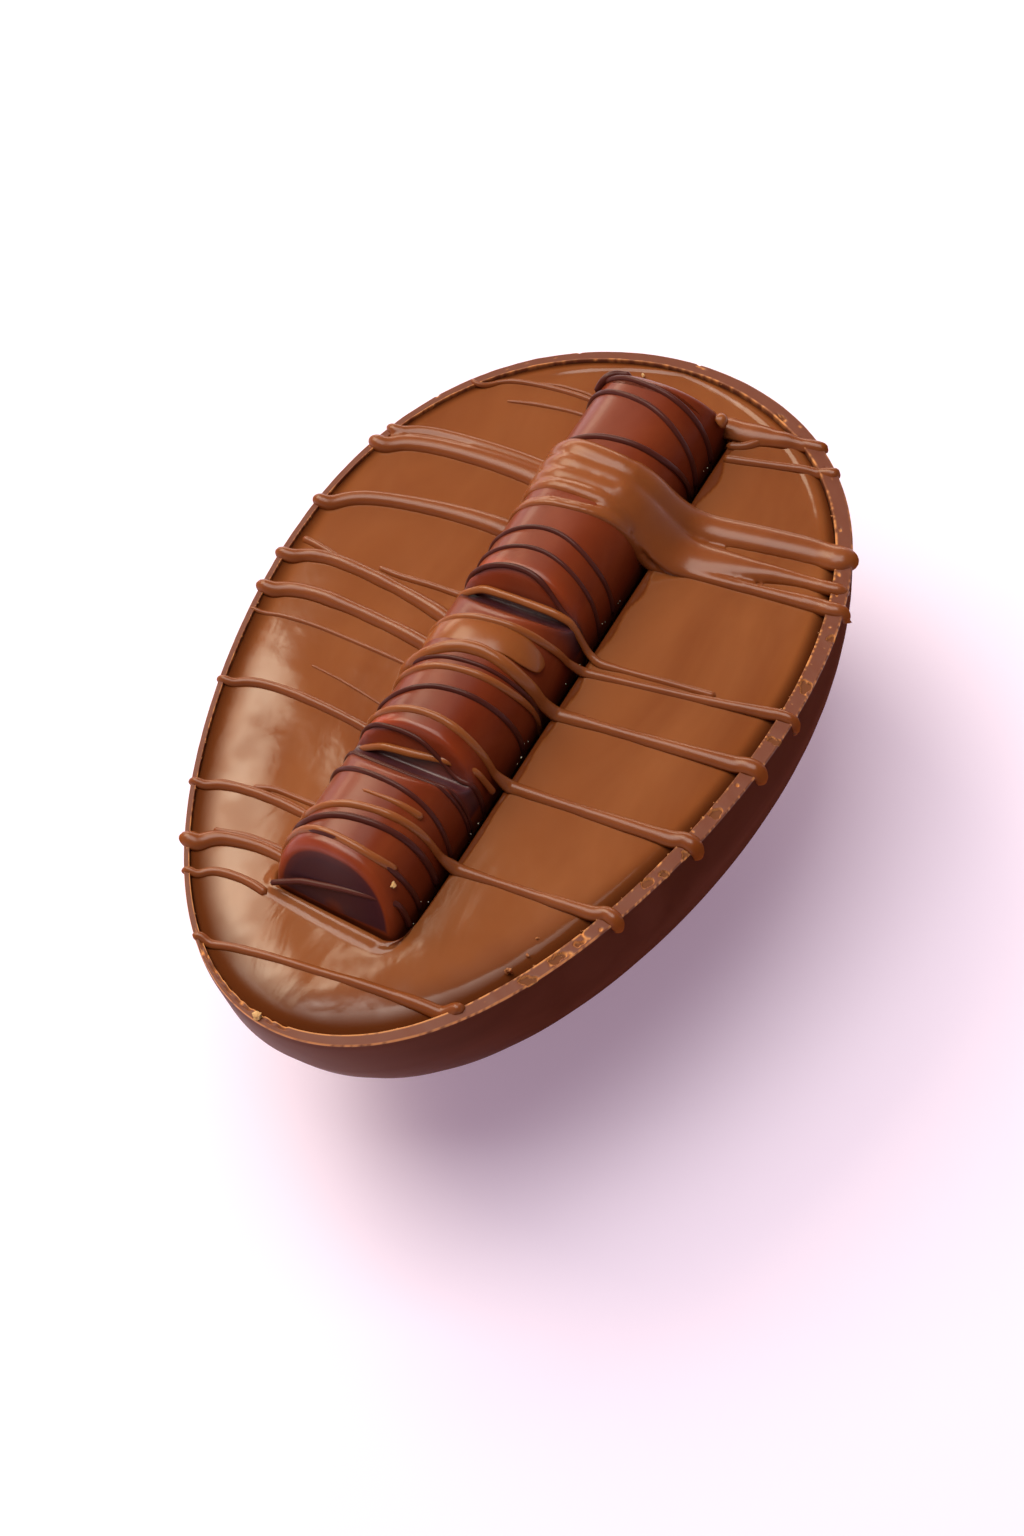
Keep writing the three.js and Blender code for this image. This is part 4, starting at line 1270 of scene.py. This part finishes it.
# %% Milk strands over the bar
# Over the bar and to the right rim: four x on the bar, width there, x at the rim, widths on the
# pool (foot, waist, tail), drip.
THROWN = [
    ((-42.0, -39.5, -38.2, -37.4), 1.3, -37.0, (2.2, 1.5, 2.2), 2.0),
    ((-21.2, -19.5, -20.1, -19.9), 1.3, -19.7, (2.3, 1.8, 2.5), 2.4),
    ((-9.2, -5.0, -5.2, -4.0), 2.2, -2.7, (2.6, 1.8, 2.6), 2.4),
    ((-0.8, 1.0, 2.4, 5.4), 1.35, 8.6, (1.7, 1.2, 1.8), 2.8),
]
ON_THE_BAR = [
    {"bar": (-49.6, -48.1, -45.9, -44.6), "width": 1.3, "end": 140},
    {"bar": (-36.6, -36.8, -36.0, -35.8), "width": (0.5, 1.3), "start": 84, "end": 134},
    {"bar": (-12.3, -9.8, -8.6, -6.0), "width": 1.2},
    {"bar": (-2.6, -1.6, -0.4, 1.5), "width": 5.0, "end": 150, "highest": 0.4},
]
# Across the two deep dips: stations (x, y, z, width). The second runs on over the pool.
BRIDGES = [
    [(-25.2, 13.7, 0.8, 1.1), (-25.3, 12.5, 4.6, 1.1), (-25.0, 8.1, 7.0, 1.2), (-24.7, 2.4, 7.3, 1.3),
     (-24.1, -3.1, 7.6, 1.2), (-23.3, -7.7, 6.0, 1.1), (-22.7, -9.7, 0.5, 1.1)],
    [(8.6, 13.0, 0.8, 1.2), (9.1, 11.7, 5.0, 1.2), (10.2, 8.0, 6.8, 1.3), (9.8, 2.0, 7.3, 1.3),
     (9.4, -5.0, 7.3, 1.3), (9.5, -8.4, 6.0, 1.2), (8.6, -11.4, 0.3, 1.2), (7.9, -13.6, -0.6, 1.6),
     (8.2, -18, -0.7, 1.1), (8.6, -26, -0.7, 1.1), (8.9, -34, -0.7, 1.1)],
]
CORNER_BLOB = [(60.4, -11.0, 4.6, 2.4), (60.9, -11.8, 3.7, 3.4), (61.3, -12.5, 2.6, 3.2)]

# How much painted glow the strands get where they lie high, on the bar.
STRAND_PAINTED_GLOW = 0.32

milk_lines += [thrown_line(*one) for one in THROWN]
milk_lines += [laid(**one) for one in ON_THE_BAR]
milk_lines += [line(np.array(path)) for path in BRIDGES]
milk_lines.append(line(np.array(CORNER_BLOB), highest=1.5, rise=0.6))
milk_strands = strands("milk_strands", milk_lines, milk, Seed=3.0)
matt_on_the_wall(milk_strands, STRAND_PAINTED_GLOW)

# %% [markdown]
# ### The thick throw
#
# Where several strands landed on each other they ran together: over the third dip they make one
# folded cloth of chocolate, which slides down the bar's right side and parts into a fan and a band.
# Sweeps that only cross would show hard creases, so these are made into one skin with a voxel
# Remesh, and some rounds of smoothing fill the creases as surface tension does.

# %% Folds and slides
FOLD_END = 150
SAG_PLACE, SAG_BOTTOM, SAG_SPREAD = 30, 10.9, 5


def throw_crest(u):
    """The thrown cloth spans the third dip instead of falling into it."""
    return BAR_CREST - (BAR_CREST - SAG_BOTTOM) * bell(u, SAG_PLACE, SAG_SPREAD)


def fold(bar, width):
    """A wide low strand on the cloth's own crest."""
    path = over_bar(bar, width, end=FOLD_END)
    turn = np.radians(np.linspace(BAR_START, FOLD_END, len(path)))
    path[:, :3] = from_bar(arch_skin(path[:, 0] - BAR_CENTRE[0], turn, throw_crest))
    return line(path, rounding=30, rise=0.33, highest=1.5)


def slide(flank, pool, rim, drip):
    """A wide flow from the bar's right flank across the pool and over the rim."""
    drop = over_rim(rim, -1, pool[-1][2], drip, swell=0)
    return line(np.array(flank), over_pool(pool), drop, rounding=30, rise=0.46, highest=1.7)


def melted(piece, voxel, rounds):
    """The piece as one skin, with its creases filled."""
    remesh = piece.modifiers.new("skin", "REMESH")
    remesh.mode = "VOXEL"
    remesh.voxel_size = voxel
    smooth = piece.modifiers.new("tension", "SMOOTH")
    smooth.factor, smooth.iterations = 0.5, rounds
    result = made_real(piece)
    piece.modifiers.clear()
    result.name = piece.name
    piece.data = result
    result.shade_smooth()
    print(f"{piece.name}: one skin of {len(result.polygons)} faces")


print("crest of the cloth over the dip, mm:", throw_crest(SAG_PLACE))

# %% The thick throw
THROW_VOXEL = 0.3 * MM
THROW_SMOOTHING = 22
# How much painted glow the throw gets where it lies high, on the bar.
THROW_PAINTED_GLOW = 0.1
FOLDS = [
    ((31.2, 31.8, 32.2, 33.4), 2.6),
    ((33.9, 34.4, 34.5, 35.2), 3.4),
    ((37.0, 37.0, 36.9, 37.6), 4.0),
    ((40.4, 39.9, 39.5, 40.4), 4.2),
]
THROW_LEFT = [
    (22.6, 28.5, 3.2, (3.0, 2.9, 3.4, 4.0), 0.5),
    (38.4, 41.0, 2.4, (3.4, 3.4, 3.9, 4.6), 0.5),
    (42.2, 43.4, 1.8, 2.4, 0.2),
]
FAN = {
    "flank": [(35.4, -4.0, 11.2, 5), (34.6, -8.6, 8.2, 6.5), (34.0, -12.2, 3.6, 8), (33.7, -15.5, 0.4, 8.6)],
    "pool": [(33.9, -18.5, 7.6), (34.7, -24, 6.0), (35.2, -29, 4.4), (35.9, -34, 3.2), (36.3, -38, 2.4)],
    "rim": 36.6, "drip": 0.6,
}
BAND = {
    "flank": [(39.2, -4, 11.4, 5), (39.6, -8.8, 8.2, 5.2), (40, -12.4, 3.4, 5.4), (40.6, -15.5, 0.3, 5.6)],
    "pool": [(41.2, -19, 5.5), (42.0, -26, 5.5), (42.6, -33, 5.3), (42.9, -39, 5.0)],
    "rim": 43.1, "drip": 1.2,
}
BESIDE_IT = ((26.3, 27.4, 29.4, 30.6), 1.25, 32.2, (2.6, 1.9, 2.5), 2.0)
THIN_BESIDE_IT = (27.5, 28.6, 30.4, 31.6)
THROW_SWEEP = {"Seed": 5.0, "Root": 1.6 * MM, "Sides": 20, "Flare": 0.12, "Unevenness": 0.0}

throw_lines = [fold(*one) for one in FOLDS] + [left_line(*one) for one in THROW_LEFT]
throw_lines += [slide(**FAN), slide(**BAND), thrown_line(*BESIDE_IT), laid(THIN_BESIDE_IT, 1.0, end=FOLD_END)]
milk_throw = strands("milk_throw", throw_lines, milk, **THROW_SWEEP)
melted(milk_throw, THROW_VOXEL, THROW_SMOOTHING)
matt_on_the_wall(milk_throw, THROW_PAINTED_GLOW)

# %% [markdown]
# ### Dark strands
#
# The bar was finished before it went into the egg: thin lines of dark chocolate cross it every
# centimetre or so, rounder and blacker than the milk ones. They use the same tree. One line lies
# across the facet of the near end, so it is told which way that facet looks.

# %% Dark strands
# Four x on the bar, width.
BAR_DARK = [
    ((-45.9, -46.6, -46.4, -45.3), 0.95), ((-44.6, -41.9, -40.8, -40.2), 1.15),
    ((-33.1, -33.7, -34.3, -35.2), 0.9), ((-28.2, -29.0, -29.0, -28.6), 0.7),
    ((-29.2, -30.0, -29.9, -29.3), 0.65), ((-23.6, -23.3, -25.4, -24.6), 0.85),
    ((-17.9, -14.0, -12.9, -11.5), 0.95), ((-9.8, -8.0, -7.1, -5.3), 0.8),
    ((11.5, 12.9, 10.4, 10.0), 0.95), ((15.2, 17.5, 15.8, 15.0), 0.8),
    ((19.5, 22.1, 20.1, 20.0), 0.9), ((41.5, 43.9, 45.2, 48.2), 1.15),
    ((54.6, 53.5, 51.3, 50.6), 1.05), ((58.6, 57.0, 56.3, 56.4), 1.0),
]
FACET_LINE = [
    (-52.1, 14.7, 1.7, 0.9), (-50.8, 9.5, 3.4, 1.0), (-50.6, 2.3, 4.9, 1.0), (-50.5, -4.6, 6.0, 1.0),
    (-49.6, -7.4, 4.6, 0.95), (-49.5, -8.2, 1.5, 0.9), (-49.5, -8.3, -1.5, 0.9),
]
NEAR_FACET_OUT = np.array([-0.96, 0, 0.27])
FAR_KNOB = [
    (56.6, 9.6, 7.0, 1.0), (58.0, 8.8, 8.8, 1.3), (59.4, 7.6, 9.3, 1.7), (60.1, 6.2, 9.0, 1.4),
    (60.2, 4.4, 9.6, 1.0),
]

dark = chocolate(
    "dark_chocolate", (0.060, 0.012, 0.008), (0.088, 0.019, 0.013), 0.3, soft=0.05, ripple=0.05, shine=0.2
)
dark_lines = [laid(*one, rise=0.62) for one in BAR_DARK]
dark_lines.append(line(np.array(FACET_LINE), rise=0.6, up=NEAR_FACET_OUT))
dark_lines.append(line(np.array(FAR_KNOB), rise=0.7))
dark_strands = strands("dark_strands", dark_lines, dark, Seed=8.0, Flare=0.1, Unevenness=0.08)

# %% [markdown]
# ## Crumbs
#
# Where the rim was scraped and chipped, bits of it are left: a shard in each chip, a row of tiny
# flecks along the inner edge, three golden bits of hazelnut from the wafer, and white specks in the
# gap beside the bar. Every crumb is the same little ball, so a tree of nodes puts one on each
# point, turns and stretches it at random, and knocks it out of shape.

# %% The crumbs' tree
CRAG_SCALE = 2200
MOST_TURNED = (0.5, 0.5, 2 * math.pi)


def crumb_tree():
    """Puts a craggy ball of the point's own size on every point."""
    tree, given = new_tree("crumbs", ("Seed", "Int", 1), ("Crag", "Float", 0.9))
    size = named(tree, "size")
    ball = add(tree, "GeometryNodeMeshIcoSphere", {"Radius": 0.5, "Subdivisions": 3})
    turning = {"Max": MOST_TURNED, "Seed": given["Seed"]}
    turn = add(tree, "FunctionNodeRandomValue", turning, data_type="FLOAT_VECTOR")
    placed = {"Points": given["Geometry"], "Instance": ball, "Rotation": turn, "Scale": size}
    balls = add(tree, "GeometryNodeInstanceOnPoints", placed)
    real = add(tree, "GeometryNodeRealizeInstances", {"Geometry": balls})
    crags = add(tree, "ShaderNodeTexNoise", {"Scale": CRAG_SCALE, "Detail": 1}, "Color")
    knock = vectors(tree, "MULTIPLY", vectors(tree, "SUBTRACT", crags, (0.5, 0.5, 0.5)), size)
    moved = {"Geometry": real, "Offset": scaled(tree, knock, given["Crag"])}
    finish_tree(tree, given, add(tree, "GeometryNodeSetPosition", moved))
    return tree


def crumbs(name, bits, material, seed):
    """Crumbs from rows (x, y, z, length, width, height), in mm."""
    bits = np.array(bits, float)
    size = {"size": bits[:, 3:] * MM}
    return grown(name, CRUMB_TREE, bits[:, :3], [], size, Chocolate=material, Seed=seed)


CRUMB_TREE = crumb_tree()

# %% Crumbs
FLECKS = 40
SPECKS = 26
LOOSE_SHARDS = [
    (-51.4, -26.7, -0.2, 1.3, 0.6, 1.5), (-44.2, -28.0, -0.6, 0.7, 0.4, 0.4),
    (-47.6, -28.0, -0.6, 0.6, 0.4, 0.4),
]
HAZELNUT_BITS = [
    (-73.6, 5.2, 0.25, 1.7, 1.3, 1.0), (-48.2, -6.1, 7.3, 1.2, 0.8, 0.7),
    (69.3, 7.2, -0.2, 0.7, 0.5, 0.5),
]


def rim_point(x, share, side=-1):
    """A point on the rim at x, by its share of the way in."""
    outside, inside = side * half_width(x), cavity_edge(x, side)
    return x, outside + (inside - outside) * share


def rim_bits(random):
    """A shard in each chip, flecks along the inner edge, and the loose shards."""
    bits = []
    for x, share, half_length in CHIPS:
        x = x + half_length * random.uniform(-0.9, 0.9)
        size = random.uniform(0.15, 0.4)
        place = rim_point(x, np.clip(share + random.uniform(-0.3, 0.3), 0.15, 0.9))
        bits.append((*place, -0.15, size, 0.6 * size, 0.7 * size))
    for _ in range(FLECKS):
        x = random.uniform(-70, 72)
        side = random.choice((-1, -1, 1))
        size = random.uniform(0.1, 0.26)
        bits.append((*rim_point(x, random.uniform(0.97, 1.08), side), -0.05, 1.8 * size, size, size))
    return bits + LOOSE_SHARDS


def gap_bits(random):
    """Specks along the foot of the bar's right side."""
    x = random.uniform(-50, 55, SPECKS)
    y = bar_side(x, -1) - random.uniform(0.0, 1.2, SPECKS)
    size = random.uniform(0.1, 0.22, SPECKS)
    return np.column_stack([x, y, FILLING_LEVEL + 0 * x, size, size, size])


crumb = chocolate("crumb_chocolate", (0.30, 0.10, 0.03), (0.50, 0.20, 0.07), 0.45, streaks=700)
hazelnut = chocolate("hazelnut", (0.46, 0.24, 0.09), (0.66, 0.40, 0.18), 0.6, streaks=900, shine=0.25)
milk_powder = chocolate("milk_powder", (0.72, 0.62, 0.46), (0.86, 0.78, 0.62), 0.6, streaks=900, shine=0.25)
rim_crumbs = crumbs("rim_crumbs", rim_bits(np.random.default_rng(3)), crumb, 2)
hazelnut_crumbs = crumbs("hazelnut_crumbs", HAZELNUT_BITS, hazelnut, 4)
gap_specks = crumbs("gap_specks", gap_bits(np.random.default_rng(6)), milk_powder, 5)

# %% [markdown]
# ## One body
#
# Nothing on the egg moves on its own: the bar is set in the filling, and the filling in the shell.
# So every piece rides on the same body, and the three large ones take the place of the solids that
# they dress.

# %% Say what moves with what
for piece, slot in (
    (shell, "shell_chocolate"), (filling, "filling_chocolate"), (bar, "bar_coating"),
    (milk_strands, "filling_chocolate"), (milk_throw, "filling_chocolate"),
    (dark_strands, "bar_coating"), (rim_crumbs, "shell_chocolate"),
    (hazelnut_crumbs, "filling_chocolate"), (gap_specks, "filling_chocolate"),
):
    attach(piece, "root")
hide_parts("shell")
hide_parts("filling")
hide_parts("bar")
print("take the place of solids:", [one.name for one in (shell, filling, bar)])
